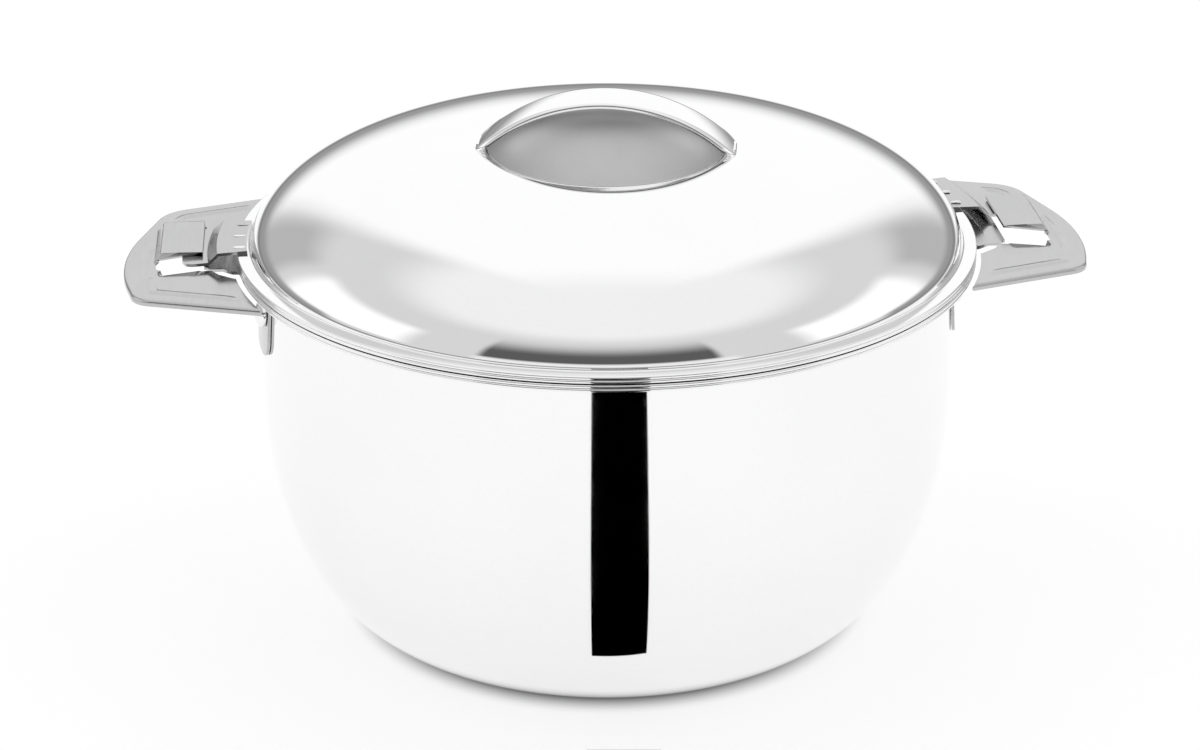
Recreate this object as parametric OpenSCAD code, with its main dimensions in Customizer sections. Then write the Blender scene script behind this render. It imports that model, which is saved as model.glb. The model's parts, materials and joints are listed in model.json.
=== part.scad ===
/* [Pot] */
// Inside radius of the bowl at its mouth
bowl_r = 108.5; // [95:0.5:120]
// Height from the table to the seam between pot and lid
pot_h = 131.5; // [115:0.5:150]
// Thickness of the bowl, shell, dome and dish sheets
sheet = 0.6; // [0.5:0.1:0.9]
// Space for the insulation at the neck
neck_gap = 6.1; // [5:0.1:8]
// How far the belly stands out past the neck
belly_out = 2.4; // [0.5:0.1:4]
// Height of the widest part of the belly
belly_z = 84; // [74:0.5:92]
// Width of the round turn from the belly to the flat base
base_turn = 41.5; // [34:0.5:46]
// Space for the insulation under the bowl's floor
floor_gap = 12; // [8:0.5:16]
// Width of the round turn from the bowl's wall to its floor
bowl_turn = 34; // [26:0.5:38]
// How far the rolled rim stands out past the neck
rim_out = 9.2; // [8:0.1:12]
// Thickness of each rolled edge in the rim
hem = 1.2; // [1:0.05:1.4]
// Radius of the pressed-up panel in the base
panel_r = 60; // [40:1:66]
// Height of the pressed-up panel in the base
panel_rise = 2; // [1:0.1:3]

/* [Lid] */
// Gap that shows between the lid and the pot
seam_gap = 0.35; // [0.3:0.05:0.6]
// Width of the flat brim outside the dome
brim_w = 4.5; // [4:0.1:8]
// Height of the dome over the brim
dome_h = 31; // [24:0.5:40]
// Flatness of the dome's top, 2 being an ellipse
dome_power = 3.8; // [3:0.1:5]
// Fullness of the dome's shoulder, 2 being an ellipse
dome_round = 1.65; // [1.3:0.01:2]
// Depth of the lid's plug below the seam
plug_depth = 9; // [7:0.5:12]
// Radial room for the seal between plug and bowl
seal_room = 3.6; // [3:0.1:5]
// Height of the seal
seal_h = 4; // [3:0.1:5]
// Rise of the dish's middle over the bottom of the plug
dish_rise = 8; // [4:0.5:12]
// Radius of the round recess for the fingers
cup_r = 40.8; // [34:0.2:46]
// Depth of the recess
cup_depth = 22; // [14:0.5:24]

/* [Grip strap] */
// How far the strap's feet stand outside the recess
strap_out = 3.2; // [2.6:0.1:8]
// Height of the strap over its feet
strap_rise = 18.1; // [14:0.1:26]
// Width of the strap
strap_w = 18.5; // [13:0.5:22]
// Thickness of the strap, the ears and the handles
plate = 1; // [0.8:0.1:1.2]
// Depth of the edge turned down along the strap
strap_hem = 2.2; // [1.5:0.1:3]
// Width of the tabs that pass through the dome
tab_w = 9; // [6:0.5:12]
// Turn of the strap from the line between the ears
strap_turn = -14; // [-30:1:30]

/* [Lock] */
// Turn of the lid in the locked position
lock_turn = 4.6; // [3:0.1:6]
// How far the middle of each ear lies behind the pot's side line
ear_back = 6.9; // [5:0.1:8]
// Angle that each ear spans
ear_span = 13.8; // [12:0.1:15]
// Length of each ear outside the rim
ear_reach = 18; // [16:0.2:20]
// Drop of each ear from the brim to its tongue
ear_drop = 3.7; // [3.5:0.1:4]
// Gap between a tongue and the clip over it
clip_gap = 0.7; // [0.5:0.1:1.2]
// Gap between a tongue and the handle plate under it
tongue_gap = 0.9; // [0.8:0.1:1.4]

/* [Handles] */
// Reach of each handle outside the gap at the rim
handle_run = 35.8; // [30:0.2:46]
// Half of the handle's width where it meets the rim
handle_half = 50; // [45:0.5:60]
// Slope of the handle's sides
handle_taper = 18; // [8:1:24]
// How far the middle of each handle lies behind the pot's side line
handle_back = 4.2; // [0:0.2:8]
// Radius of the handle's front corner
corner_r = 9; // [5:0.5:14]
// Radius of the handle's rear corner
rear_corner_r = 14; // [5:0.5:18]
// How far the handle's end is drawn back at its front corner
front_bow = 4.6; // [2:0.2:8]
// How far the handle's end is drawn back at its rear corner
rear_bow = 11.8; // [6:0.2:14]
// Depth of the edge turned down round each handle
lip_h = 2.1; // [1.6:0.1:4]
// Gap between the rim and the handle plate
rim_clear = 1.6; // [1.2:0.1:3]
// Inset of the stiffening bead from the handle's edge
bead_inset = 5.5; // [4:0.5:10]
// Width of the stiffening bead
bead_w = 4; // [2:0.5:6]
// Height of the stiffening bead
bead_h = 0.5; // [0.3:0.05:0.6]
// Gap between the bead and the clip
bead_clear = 1; // [0.6:0.1:2]
// Distance of each clip's inner edge from the plate's edge at the rim
clip_in = 9.6; // [9:0.1:11]
// Size of each clip across the handle
clip_w = 13.5; // [12:0.1:16]
// Length of each clip
clip_len = 30; // [26:0.5:34]
// How far the clip's front edge lies before the pot's side line
clip_front = 4.2; // [2:0.1:6]
// Width of the slope round each clip
clip_slope = 3; // [2:0.1:4]
// Opening of the plate in front of each clip
mouth = 6.5; // [5:0.1:9]
// Length of the bent lead-in in front of the opening
lead_in = 6; // [4:0.1:8]

/* [Mounting] */
// Half of the width of each handle's flange on the pot
flange_half = 27; // [24:0.5:32]
// Depth of the flange below the seam
flange_drop = 29; // [24:0.5:36]
// Gap between the rim's underside and the strip that runs in under it
strip_gap = 0.35; // [0.3:0.05:0.8]
// Front edge of that strip, from the pot's side line
strip_front = 12.3; // [8:0.1:16]
// Rear edge of that strip, from the pot's side line
strip_rear = 28; // [24:0.5:34]
// Radius of the rivets' shanks
rivet_r = 2.4; // [2:0.1:3]
// Radius of the rivets' heads
rivet_head_r = 4.5; // [4:0.1:5]
// Height of the rivets' domed heads
rivet_head_h = 3.4; // [2:0.1:4]
// Distance of each rivet from the middle of its flange
rivet_y = 21.5; // [16:0.5:22]
// Depth of the rivets below the seam
rivet_drop = 14; // [12:0.5:20]
// Thickness of the plate behind the shell
backing_t = 1.2; // [1:0.1:1.6]
// Height of that plate over and under its rivets
backing_up = 7; // [6:0.5:9]
backing_down = 9; // [6:0.5:14]

/* [Hidden] */
$fn = 180;
// Room between nested curved pieces
nest = 0.15;
// Room between the pot, the seal and the lid
slide_room = 0.3;
// Room round tabs and rivets
hole_room = 0.1;

neck_r = bowl_r + sheet + neck_gap + sheet;
belly_r = neck_r + belly_out;
base_r = belly_r - base_turn;
rim_r = neck_r + rim_out;
hem_r = hem / 2;
hem_pitch = hem + 0.05;
rim_under = pot_h - hem - hem_pitch;
bowl_floor_z = sheet + floor_gap + sheet;
bowl_turn_z = bowl_floor_z + (belly_z - bowl_floor_z) * 0.85;
bowl_floor_r = bowl_r - bowl_turn;

lid_low = pot_h + seam_gap;
dish_top = lid_low + hem;
brim_z = lid_low + hem_pitch + hem;
foot_r = rim_r - brim_w;
plug_r = bowl_r - seal_room;
plug_z = pot_h - plug_depth;
plug_turn = 4;
hole_r = cup_r - 0.4;

ear_in = foot_r + 1;
ear_out = rim_r + ear_reach;
bend_out = rim_r + 6.5;
bend_in = rim_r + 9.5;
tongue_z = brim_z + plate - ear_drop;
plate_z = tongue_z - plate - tongue_gap;
clip_z = tongue_z + clip_gap;
plate_in = rim_r + rim_clear;
handle_reach = plate_in + handle_run;
clip_x = plate_in + clip_in;

// Length over which the strip slopes down from the plate
strip_run = 4;
strip_z = rim_under - strip_gap;
strip_from = -asin(strip_front / (plate_in + strip_run));
strip_to = asin(strip_rear / (plate_in + strip_run));
flange_low = pot_h - flange_drop;
rivet_z = pot_h - rivet_drop;

strap_reach = cup_r + strap_out;
strap_r = (strap_reach * strap_reach + strap_rise * strap_rise) / (2 * strap_rise);
strap_half = asin(strap_reach / strap_r);
strap_foot_z = dome_z(strap_reach);
strap_mid_z = strap_foot_z + strap_rise - strap_r;
tab_len = 5;

STEEL = [0.86, 0.87, 0.88];
FOAM = [0.93, 0.88, 0.72];
RUBBER = [0.88, 0.88, 0.86];
PLUG = [0.2, 0.2, 0.22];

// ---- curves of the pot and the lid, as radius at a height or height at a radius

// Outside of the pot: a quarter ellipse up to the belly, then an arc in to the neck
function body_r(z) = z < belly_z
    ? base_r + base_turn * sqrt(max(0, 1 - pow((belly_z - z) / belly_z, 2)))
    : belly_r - belly_out * pow((z - belly_z) / (rim_under - belly_z), 2);

// Outside of the insulation where it meets the shell
function liner_r(z) = z < belly_z
    ? base_r + (base_turn - sheet - nest)
      * sqrt(max(0, 1 - pow((belly_z - z) / (belly_z - sheet - nest), 2)))
    : body_r(z) - sheet - nest;

// Inside of the bowl, grown outwards by t
function bowl_in(z, t) = z < bowl_turn_z
    ? bowl_floor_r + (bowl_turn + t)
      * sqrt(max(0, 1 - pow((bowl_turn_z - z) / (bowl_turn_z - bowl_floor_z + t), 2)))
    : bowl_r + t;

// Top of the dome, shrunk inwards by t
function dome_top(r, t) = brim_z + (dome_h - t)
    * pow(max(0, 1 - pow(r / (foot_r - t), dome_power)), 1 / dome_round);
function dome_z(r) = dome_top(r, 0);

// Point on the inside of the recess cup, grown by t, at an angle from its bottom
cup_mouth_z = dome_z(hole_r);
cup_wall_r = hole_r - 0.2;
cup_collar = 1.5;
function cup_at(a, t) = [(cup_wall_r - sheet + t) * sin(a),
    cup_mouth_z - cup_collar - (cup_depth - cup_collar + t) * cos(a)];

// Underside of the dish's raised middle, at radius r
dish_flat_r = plug_r - 10;
function dish_z(r) = plug_z + dish_rise * (1 - pow(r / dish_flat_r, 2));

function steps(a, b, n) = [for (i = [0 : n]) a + (b - a) * i / n];
function flip(list) = [for (i = [len(list) - 1 : -1 : 0]) list[i]];

// Heights closer together near the low end, where a wall turns into a floor
function low_steps(a, b, n) = [for (i = [0 : n]) a + (b - a) * (1 - cos(90 * i / n))];

// Points of a polygon whose corners are rounded; each corner is [x, y, radius]
function rounded(c, n = 8) = [
    for (i = [0 : len(c) - 1])
        let (p = [c[i][0], c[i][1]], a = c[(i + len(c) - 1) % len(c)], b = c[(i + 1) % len(c)],
             u = [a[0], a[1]] - p, v = [b[0], b[1]] - p,
             un = u / norm(u), vn = v / norm(v), half = acos(un * vn) / 2,
             bis = (un + vn) / norm(un + vn), r = c[i][2], mid = p + bis * r / sin(half),
             t1 = p + un * r / tan(half) - mid, t2 = p + vn * r / tan(half) - mid,
             a1 = atan2(t1[1], t1[0]), turn = (atan2(t2[1], t2[0]) - a1 + 540) % 360 - 180)
        for (k = [0 : n]) mid + r * [cos(a1 + turn * k / n), sin(a1 + turn * k / n)]
];

// ---- general pieces

// Rolled edge of a rim sheet, from its top at z round to the underside of its flange
function rolled(z) = [for (a = steps(90, -180 + asin((sheet - hem_r) / hem_r), 12))
    [rim_r - hem_r + hem_r * cos(a), z - hem_r + hem_r * sin(a)]];

// Wedge-shaped sector of the plane round the +X axis
module sector(from, to, r) {
    n = 12;
    polygon(concat([[0, 0]],
        [for (i = [0 : n]) let (a = from + (to - from) * i / n) r / cos((to - from) / n / 2)
            * [cos(a), sin(a)]]));
}

// Places its children on the right, or mirrored on the left
module on_side(side) {
    if (side == "left") mirror([1, 0, 0]) children();
    else children();
}

// ---- pot

module outer_shell() {
    top = pot_h - hem_pitch;
    neck = steps(belly_z, rim_under, 10);
    turn_in = low_steps(sheet, belly_z, 26);
    color(STEEL) difference() {
        rotate_extrude() polygon(concat(
            [for (z = low_steps(0, belly_z, 26)) [body_r(z), z]],
            [for (i = [1 : 10]) [body_r(neck[i]), neck[i]]],
            [[neck_r, top - sheet]], flip(rolled(top)), [[neck_r - sheet, top]],
            [for (z = flip(neck)) [body_r(z) - sheet, z]],
            [for (i = [25 : -1 : 0]) [base_r + (base_turn - sheet) * sqrt(max(0,
                1 - pow((belly_z - turn_in[i]) / (belly_z - sheet), 2))), turn_in[i]]],
            [[panel_r + sheet * 2, sheet], [panel_r, panel_rise + sheet],
             [0, panel_rise + sheet], [0, panel_rise], [panel_r + sheet * 0.7, panel_rise],
             [panel_r + sheet * 2.7, 0]]));
        translate([0, 0, panel_rise - 1]) cylinder(r = fill_r + hole_room, h = sheet + 2);
        rivet_holes();
    }
}

module inner_bowl() {
    color(STEEL) rotate_extrude() polygon(concat(
        [for (z = low_steps(bowl_floor_z - sheet, bowl_turn_z, 24)) [bowl_in(z, sheet), z]],
        [[bowl_r + sheet, pot_h - sheet]], flip(rolled(pot_h)),
        [[bowl_r + sheet * 2, pot_h], [bowl_r + sheet / 2, pot_h - sheet * 0.7],
         [bowl_r, pot_h - sheet * 2.2]],
        [for (z = flip(low_steps(bowl_floor_z, bowl_turn_z, 24))) [bowl_in(z, 0), z]],
        [[0, bowl_floor_z], [0, bowl_floor_z - sheet]]));
}

// Plastic plug in the hole through which the foam is poured
fill_r = 8;
plug_flange = 2;

module pot_fill_plug() {
    color(PLUG) rotate_extrude() polygon([
        [0, panel_rise - 1.2], [fill_r + plug_flange, panel_rise - 1.2],
        [fill_r + plug_flange, panel_rise], [fill_r, panel_rise],
        [fill_r, panel_rise + sheet + 2], [0, panel_rise + sheet + 2]]);
}

module pot_insulation() {
    top = pot_h - hem_pitch - sheet - 1;
    outside = concat([for (z = low_steps(sheet + nest, belly_z, 20)) [liner_r(z), z]],
        [for (i = [1 : 8]) let (z = belly_z + (top - belly_z) * i / 8)
            [body_r(min(z, rim_under)) - sheet - nest, z]]);
    bowl_side = [for (z = flip(low_steps(bowl_floor_z - sheet - nest, bowl_turn_z, 20)))
        [bowl_in(z, sheet + nest), z]];
    base_z = panel_rise + sheet + nest;
    color(FOAM) difference() {
        rotate_extrude() polygon(concat(outside,
            [[bowl_r + sheet + nest, top]], bowl_side,
            [[0, bowl_floor_z - sheet - nest], [0, base_z],
             [panel_r + 1, base_z], [panel_r + 2.2, sheet + nest]]));
        cylinder(r = fill_r + hole_room, h = panel_rise + sheet + 2 + nest);
        for (side = ["left", "right"]) on_side(side) {
            backing_solid(nest);
            for (s = [-1, 1]) at_rivet(s)
                translate([0, 0, -rivet_tail() - tail_h - nest])
                    cylinder(r = rivet_head_r + 0.5, h = 5);
        }
    }
}

// ---- handles

// Corners of the handle plate, drawn in by t
module handle_outline(t) {
    half_in = handle_half - t / cos(handle_taper);
    function half_at(x) = half_in - (x - plate_in) * tan(handle_taper);
    far = handle_reach - t;
    back = plate_in - 20;
    front = half_at(far - front_bow);
    rear = half_at(far - rear_bow);
    // The end is one wide bow, as round as its two tangents allow
    end_r = 0.95 * (front * 0.5 + rear * 0.1) / (tan(atan(front_bow / (front * 0.5)) / 2)
        + tan(atan(rear_bow / (rear * 0.9)) / 2));
    translate([0, handle_back]) polygon(rounded([
        [back, -half_at(back), 1],
        [far - front_bow, -front, max(1, corner_r - t)],
        [far, -front * 0.5, end_r],
        [far, rear * 0.1, end_r],
        [far - rear_bow, rear, max(1, rear_corner_r - t)],
        [back, half_at(back), 1]]));
}

clip_rear = -clip_front + clip_len;
clip_far = clip_x + clip_w;
mouth_y = -clip_front - mouth;
bent_y = mouth_y - lead_in;

// Opening in the plate: under the clip, its mouth, and the notch at the rim
module plate_opening() {
    translate([clip_x, mouth_y]) square([clip_w + clip_slope - plate, clip_rear - mouth_y]);
    translate([clip_x + 1, bent_y]) square([clip_w - 2, lead_in + 1]);
    polygon([[plate_in - 6, strip_from_y - 9], [plate_in - 1, strip_from_y - 8],
        [plate_in + 4, strip_from_y - 4], [clip_x - 3, strip_from_y],
        [clip_x + 1, strip_from_y], [clip_x + 1, mouth_y + 2], [clip_x - 1, mouth_y + 2],
        [clip_x - 2.5, strip_from_y + 1], [plate_in - 6, strip_from_y + 1]]);
}
strip_from_y = -strip_front;

// Frustum that slopes at its far side, and at its rear if closed, shrunk by t
module clip_block(closed, t) {
    top = clip_z + plate - t;
    rear = clip_rear - (closed ? t : -clip_slope * 2);
    slope = closed ? clip_slope : 0;
    low = plate_z - plate - (t > 0 ? 1 : 0);
    extra = clip_slope * (plate_z - low) / (clip_z + plate - plate_z);
    intersection() {
        translate([0, rear + clip_len, 0]) rotate([90, 0, 0])
            linear_extrude(height = clip_len * 3)
            polygon([[clip_x - (t > 0 ? 1 : 0), low],
                [clip_far + clip_slope + extra - t * 0.9, low], [clip_far - t * 0.4, top],
                [clip_x - (t > 0 ? 1 : 0), top]]);
        translate([clip_x - clip_w, 0, 0]) rotate([90, 0, 90])
            linear_extrude(height = clip_w * 4)
            polygon([[-clip_front - (t > 0 ? 1 : 0), low],
                [rear + slope + extra * (closed ? 1 : 0), low], [rear, top],
                [-clip_front - (t > 0 ? 1 : 0), top]]);
    }
}

// Raised clip with its far side sloping down to the plate
module clip(closed) {
    difference() {
        intersection() {
            clip_block(closed, 0);
            translate([clip_x - plate * 2, -clip_front - plate * 2, plate_z - plate])
                cube([clip_w * 3, clip_len + plate * 2 + (closed ? clip_slope * 6 : 0), clip_w]);
        }
        clip_block(closed, plate);
    }
}

// Strip of the plate bent down in front of the opening
module bent_lead_in() {
    drop = 2.4;
    translate([clip_x + 1.2, 0, 0]) rotate([90, 0, 90]) linear_extrude(height = clip_w - 2.4)
        polygon([[bent_y - 0.5, plate_z], [bent_y - 0.5, plate_z - plate],
            [mouth_y, plate_z - plate - drop], [mouth_y, plate_z - drop]]);
}

module handle(closed) {
    color(STEEL) difference() {
        union() {
            translate([0, 0, plate_z - plate]) linear_extrude(height = plate) difference() {
                handle_outline(0);
                circle(r = plate_in);
                plate_opening();
                intersection() {
                    circle(r = plate_in + strip_run - 0.7);
                    sector(strip_from - 0.4, strip_to + 0.4, plate_in + 20);
                }
            }
            translate([0, 0, plate_z - lip_h]) linear_extrude(height = lip_h - plate / 2)
                difference() {
                    handle_outline(0);
                    handle_outline(plate);
                    circle(r = plate_in + 2);
                }
            translate([0, 0, plate_z - plate / 2]) linear_extrude(height = bead_h + plate / 2)
                difference() {
                    handle_outline(bead_inset);
                    handle_outline(bead_inset + bead_w);
                    circle(r = plate_in + 1);
                    // The bead stops beside the clip and its lead-in
                    translate([clip_x - bead_clear, bent_y - bead_clear])
                        square([clip_w + clip_slope + bead_clear * 2,
                            clip_rear + clip_slope - bent_y + bead_clear * 2]);
                }
            clip(closed);
            bent_lead_in();
            mounting_strip();
            mounting_flange();
        }
        rivet_holes();
    }
}

module handle_left() on_side("left") handle(true);
module handle_right() handle(false);

// ---- mounting

// Wall that follows the pot's outside, from gap out to gap + t
module belly_wall(low, high, gap, t, half_angle) {
    zs = steps(low, high, 10);
    rotate([0, 0, -half_angle]) rotate_extrude(angle = 2 * half_angle)
        polygon(concat([for (z = zs) [body_r(z) + gap + t, z]],
            [for (z = flip(zs)) [body_r(z) + gap, z]]));
}

flange_angle = asin(flange_half / neck_r);
// Room between the shell and the handle's flange
flange_gap = 0.2;

// Part of the plate that slopes down and runs in under the rim
module mounting_strip() {
    bend_r = rim_r - 1.5;
    rotate([0, 0, strip_from]) rotate_extrude(angle = strip_to - strip_from) polygon([
        [bend_r, strip_z - plate], [rim_r + 0.6, strip_z - plate],
        [plate_in + strip_run, plate_z - plate * 0.95],
        [plate_in + strip_run + 1, plate_z - plate * 0.95],
        [plate_in + strip_run + 1, plate_z - plate * 0.05],
        [plate_in + strip_run, plate_z - plate * 0.05],
        [rim_r + 0.6, strip_z], [bend_r, strip_z]]);
    rotate([0, 0, -flange_angle]) rotate_extrude(angle = 2 * flange_angle)
        translate([neck_r + flange_gap + plate * 0.4, strip_z - plate * 0.9])
            square([bend_r + 1 - neck_r - flange_gap - plate * 0.4, plate * 0.8]);
}

// Curved flange that lies on the pot below the rim
module mounting_flange() {
    corner = 7;
    intersection() {
        belly_wall(flange_low, strip_z - plate * 0.3, flange_gap, plate, flange_angle + 2);
        rotate([90, 0, 90]) linear_extrude(height = rim_r + 40)
            polygon(rounded([[-flange_half, flange_low, corner],
                [flange_half, flange_low, corner],
                [flange_half, strip_z + 4, 1], [-flange_half, strip_z + 4, 1]]));
    }
}

// Frame at a rivet, +Z square to the shell's outer face, which leans in above the belly
rivet_angle = asin(rivet_y / neck_r);
rivet_lean = atan(2 * belly_out * (rivet_z - belly_z) / pow(rim_under - belly_z, 2));

module at_rivet(s) {
    rotate([0, 0, s * rivet_angle])
        translate([body_r(rivet_z), 0, rivet_z]) rotate([0, 90 - rivet_lean, 0]) children();
}

module rivet_holes() {
    for (side = ["left", "right"]) on_side(side)
        for (s = [-1, 1]) at_rivet(s)
            translate([0, 0, -rivet_r * 3.5]) cylinder(r = rivet_r + hole_room, h = rivet_r * 7, $fn = 48);
}

// Thickness inside the shell's outer face that a rivet passes through
function rivet_tail() = sheet + nest + backing_t + nest;
tail_h = 1.4;

module rivets() {
    head_z = flange_gap + plate + 0.08;
    color(STEEL) for (s = [-1, 1]) at_rivet(s) rotate_extrude($fn = 48)
        polygon(concat(
            [[0, -rivet_tail() - tail_h], [rivet_head_r - 0.5, -rivet_tail() - tail_h],
             [rivet_head_r - 0.5, -rivet_tail()], [rivet_r, -rivet_tail()],
             [rivet_r, head_z], [rivet_head_r, head_z]],
            [for (a = steps(0, 90, 8))
                [rivet_head_r * cos(a), head_z + 0.8 + (rivet_head_h - 0.8) * sin(a)]]));
}

module rivets_left() on_side("left") rivets();
module rivets_right() rivets();

// Plate behind the shell that spreads the rivets' load, grown by t
module backing_solid(t) {
    belly_wall(rivet_z - backing_down - t, rivet_z + backing_up + t, -sheet - nest - backing_t - t,
        backing_t + 2 * t, flange_angle + t);
}

module backing() {
    color(STEEL) difference() {
        backing_solid(0);
        rivet_holes();
    }
}

module backing_left() on_side("left") backing();
module backing_right() backing();

// ---- seal

module seal_ring() {
    top = lid_low - slide_room;
    low = top - 2.2 - seal_h;
    color(RUBBER) rotate_extrude() polygon([
        [plug_r + slide_room, low], [bowl_r - slide_room - 0.6, low],
        [bowl_r - slide_room, low + 1], [bowl_r - slide_room, low + seal_h],
        [plug_r + slide_room, low + seal_h]]);
}

// ---- lid

module lid_dome() {
    rs = concat(steps(hole_r, foot_r * 0.7, 12),
        [for (i = [1 : 20]) foot_r * (0.7 + 0.3 * sin(90 * i / 20))]);
    under = concat([for (r = rs) if (r < foot_r - sheet - 0.05) [r, dome_top(r, sheet)]],
        [[foot_r - sheet, brim_z], [foot_r - sheet, brim_z - sheet]]);
    color(STEEL) turned_lid() difference() {
        rotate_extrude() polygon(concat([for (r = rs) [r, dome_z(r)]],
            rolled(brim_z), flip(under)));
        strap_slots(hole_room);
    }
}

module lid_dish() {
    at = [plug_r - plug_turn, plug_z + plug_turn];
    middle = steps(dish_flat_r, 0, 10);
    color(STEEL) turned_lid() difference() {
        rotate_extrude() polygon(concat([[plug_r, dish_top - sheet]],
            [for (a = steps(0, 90, 6)) at + plug_turn * [cos(a), -sin(a)]],
            [for (r = middle) [r, dish_z(r)]],
            [for (r = flip(middle)) [r, dish_z(r) + sheet]],
            [for (a = steps(90, 0, 6)) at + (plug_turn - sheet) * [cos(a), -sin(a)]],
            [[plug_r - sheet, dish_top]], rolled(dish_top)));
        translate([0, 0, dish_z(0) - 1]) cylinder(r = fill_r + hole_room, h = sheet + 3);
    }
}

module lid_fill_plug() {
    z = dish_z(0);
    color(PLUG) turned_lid() rotate_extrude() polygon([
        [0, z - 1.2], [fill_r + plug_flange, z - 1.2],
        [fill_r + plug_flange, z - 0.15], [fill_r, z - 0.15],
        [fill_r, z + sheet + 2], [0, z + sheet + 2]]);
}

module lid_insulation() {
    wall = sheet + nest;
    rs = concat(steps(cup_wall_r + nest, foot_r * 0.7, 8),
        [for (i = [1 : 13]) foot_r * 0.7 + (foot_r * 0.3 - wall) * sin(90 * i / 14)]);
    foam_low = dish_top + nest;
    color(FOAM) turned_lid() difference() {
        rotate_extrude() polygon(concat(
            [for (a = steps(0, 90, 14)) cup_at(a, wall)],
            [for (r = rs) [r, dome_top(r, wall)]],
            [[foot_r - wall, brim_z], [foot_r - wall, foam_low],
             [plug_r - wall, foam_low], [plug_r - wall, plug_z + plug_turn],
             [plug_r - plug_turn - nest, plug_z + wall + 0.6]],
            [for (r = steps(dish_flat_r, 0, 10)) [r, dish_z(r) + wall]]));
        translate([0, 0, dish_z(0) - 1]) cylinder(r = fill_r + hole_room, h = sheet + 3 + nest);
        strap_slots(1);
    }
}

module grip_cup() {
    color(STEEL) turned_lid() rotate_extrude() polygon(concat(
        [for (a = steps(0, 90, 16)) cup_at(a, sheet)],
        [[cup_wall_r, cup_mouth_z], [cup_wall_r - sheet, cup_mouth_z]],
        [for (a = steps(90, 0, 16)) cup_at(a, 0)]));
}

// Turns the lid's loose pieces to where they lie in the locked position
module turned_lid() rotate([0, 0, lock_turn]) children();

// Turns its children to the strap's direction
module strap_frame() rotate([0, 0, strap_turn]) children();

// Channel-shaped arch; the edges are turned down along both sides
module grip_strap() {
    color(STEEL) turned_lid() strap_frame() union() {
        intersection() {
            translate([0, 0, strap_mid_z]) rotate([90, 0, 0])
                rotate([0, 0, 90 - strap_half]) rotate_extrude(angle = 2 * strap_half)
                    union() {
                        translate([strap_r - plate, -strap_w / 2]) square([plate, strap_w]);
                        for (s = [-1, 1])
                            translate([strap_r - strap_hem, s * (strap_w / 2 - plate / 2)
                                - plate / 2]) square([strap_hem, plate]);
                    }
            linear_extrude(height = 3 * (pot_h + dome_h)) polygon(rounded([
                [-strap_reach - 1, -strap_w / 2 - 0.1, 5], [strap_reach + 1, -strap_w / 2 - 0.1, 5],
                [strap_reach + 1, strap_w / 2 + 0.1, 5], [-strap_reach - 1, strap_w / 2 + 0.1, 5]]));
            translate([-strap_reach * 2, -strap_w, strap_foot_z + 0.35])
                cube([strap_reach * 4, strap_w * 2, strap_rise * 2]);
        }
        for (s = [-1, 1]) strap_tab(s, 0);
    }
}

// Tab at one foot of the strap, grown by t
module strap_tab(s, t) {
    x = s > 0 ? strap_reach - plate - 0.6 - t : -strap_reach + 0.6 - t;
    translate([x, -tab_w / 2 - t, strap_foot_z - tab_len])
        cube([plate + 2 * t, tab_w + 2 * t, tab_len + 1.4]);
}

module strap_slots(t) strap_frame() for (s = [-1, 1]) strap_tab(s, t);

// ---- ears

// Sheet that runs over the brim, steps down and ends in a flat tongue
module ear() {
    top = brim_z + plate;
    n = 4;
    rotate([0, 0, ear_back - ear_span / 2]) rotate_extrude(angle = ear_span)
        polygon([
            [ear_in, brim_z], [bend_out - 0.5, brim_z], [bend_in - 0.6, tongue_z - plate],
            [ear_out, tongue_z - plate], [ear_out, tongue_z], [bend_in, tongue_z],
            [bend_out, top], [ear_in, top]]);
}

module ear_cut() {
    // The tongue's outer corners are rounded
    r = 4;
    difference() {
        ear();
        for (s = [-1, 1]) rotate([0, 0, ear_back + s * ear_span / 2])
            translate([ear_out - r, -s * r, tongue_z - plate - 1]) difference() {
                translate([0, s > 0 ? 0 : -r - 5, 0]) cube([r + 5, r + 5, plate + 2]);
                cylinder(r = r, h = plate + 2, $fn = 48);
            }
    }
}

module ear_left() color(STEEL) turned_lid() on_side("left") ear_cut();
module ear_right() color(STEEL) turned_lid() ear_cut();

// Three short weld beads that join an ear to the dome's foot
module ear_welds() {
    bead = 0.8;
    for (a = [-0.36, 0, 0.36] * ear_span) rotate([0, 0, ear_back + a])
        translate([ear_in + 0.4, 0, brim_z + plate]) rotate([0, 90, 0])
            intersection() {
                cylinder(r = bead, h = 4, $fn = 24);
                translate([-bead * 2, -bead, 0]) cube([bead * 2, 2 * bead, 4]);
            }
}

module ear_welds_left() color(STEEL) turned_lid() on_side("left") ear_welds();
module ear_welds_right() color(STEEL) turned_lid() ear_welds();

outer_shell();
inner_bowl();
pot_insulation();
pot_fill_plug();
handle_left();
handle_right();
rivets_left();
rivets_right();
backing_left();
backing_right();
seal_ring();
lid_dome();
lid_dish();
lid_insulation();
lid_fill_plug();
grip_cup();
grip_strap();
ear_left();
ear_right();
ear_welds_left();
ear_welds_right();
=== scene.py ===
"""Looks of an insulated serving pot with a lid that twists under two clips.

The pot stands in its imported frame. Each class below builds one sub-assembly from
its sizes in millimetres, dresses it and puts it on its body.
"""

import json
import logging
import math
from dataclasses import dataclass
from enum import Enum
from typing import Callable, Optional, Sequence

import bmesh
import bpy
import numpy as np
from mathutils import Matrix, Vector
from mathutils.geometry import delaunay_2d_cdt

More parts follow.
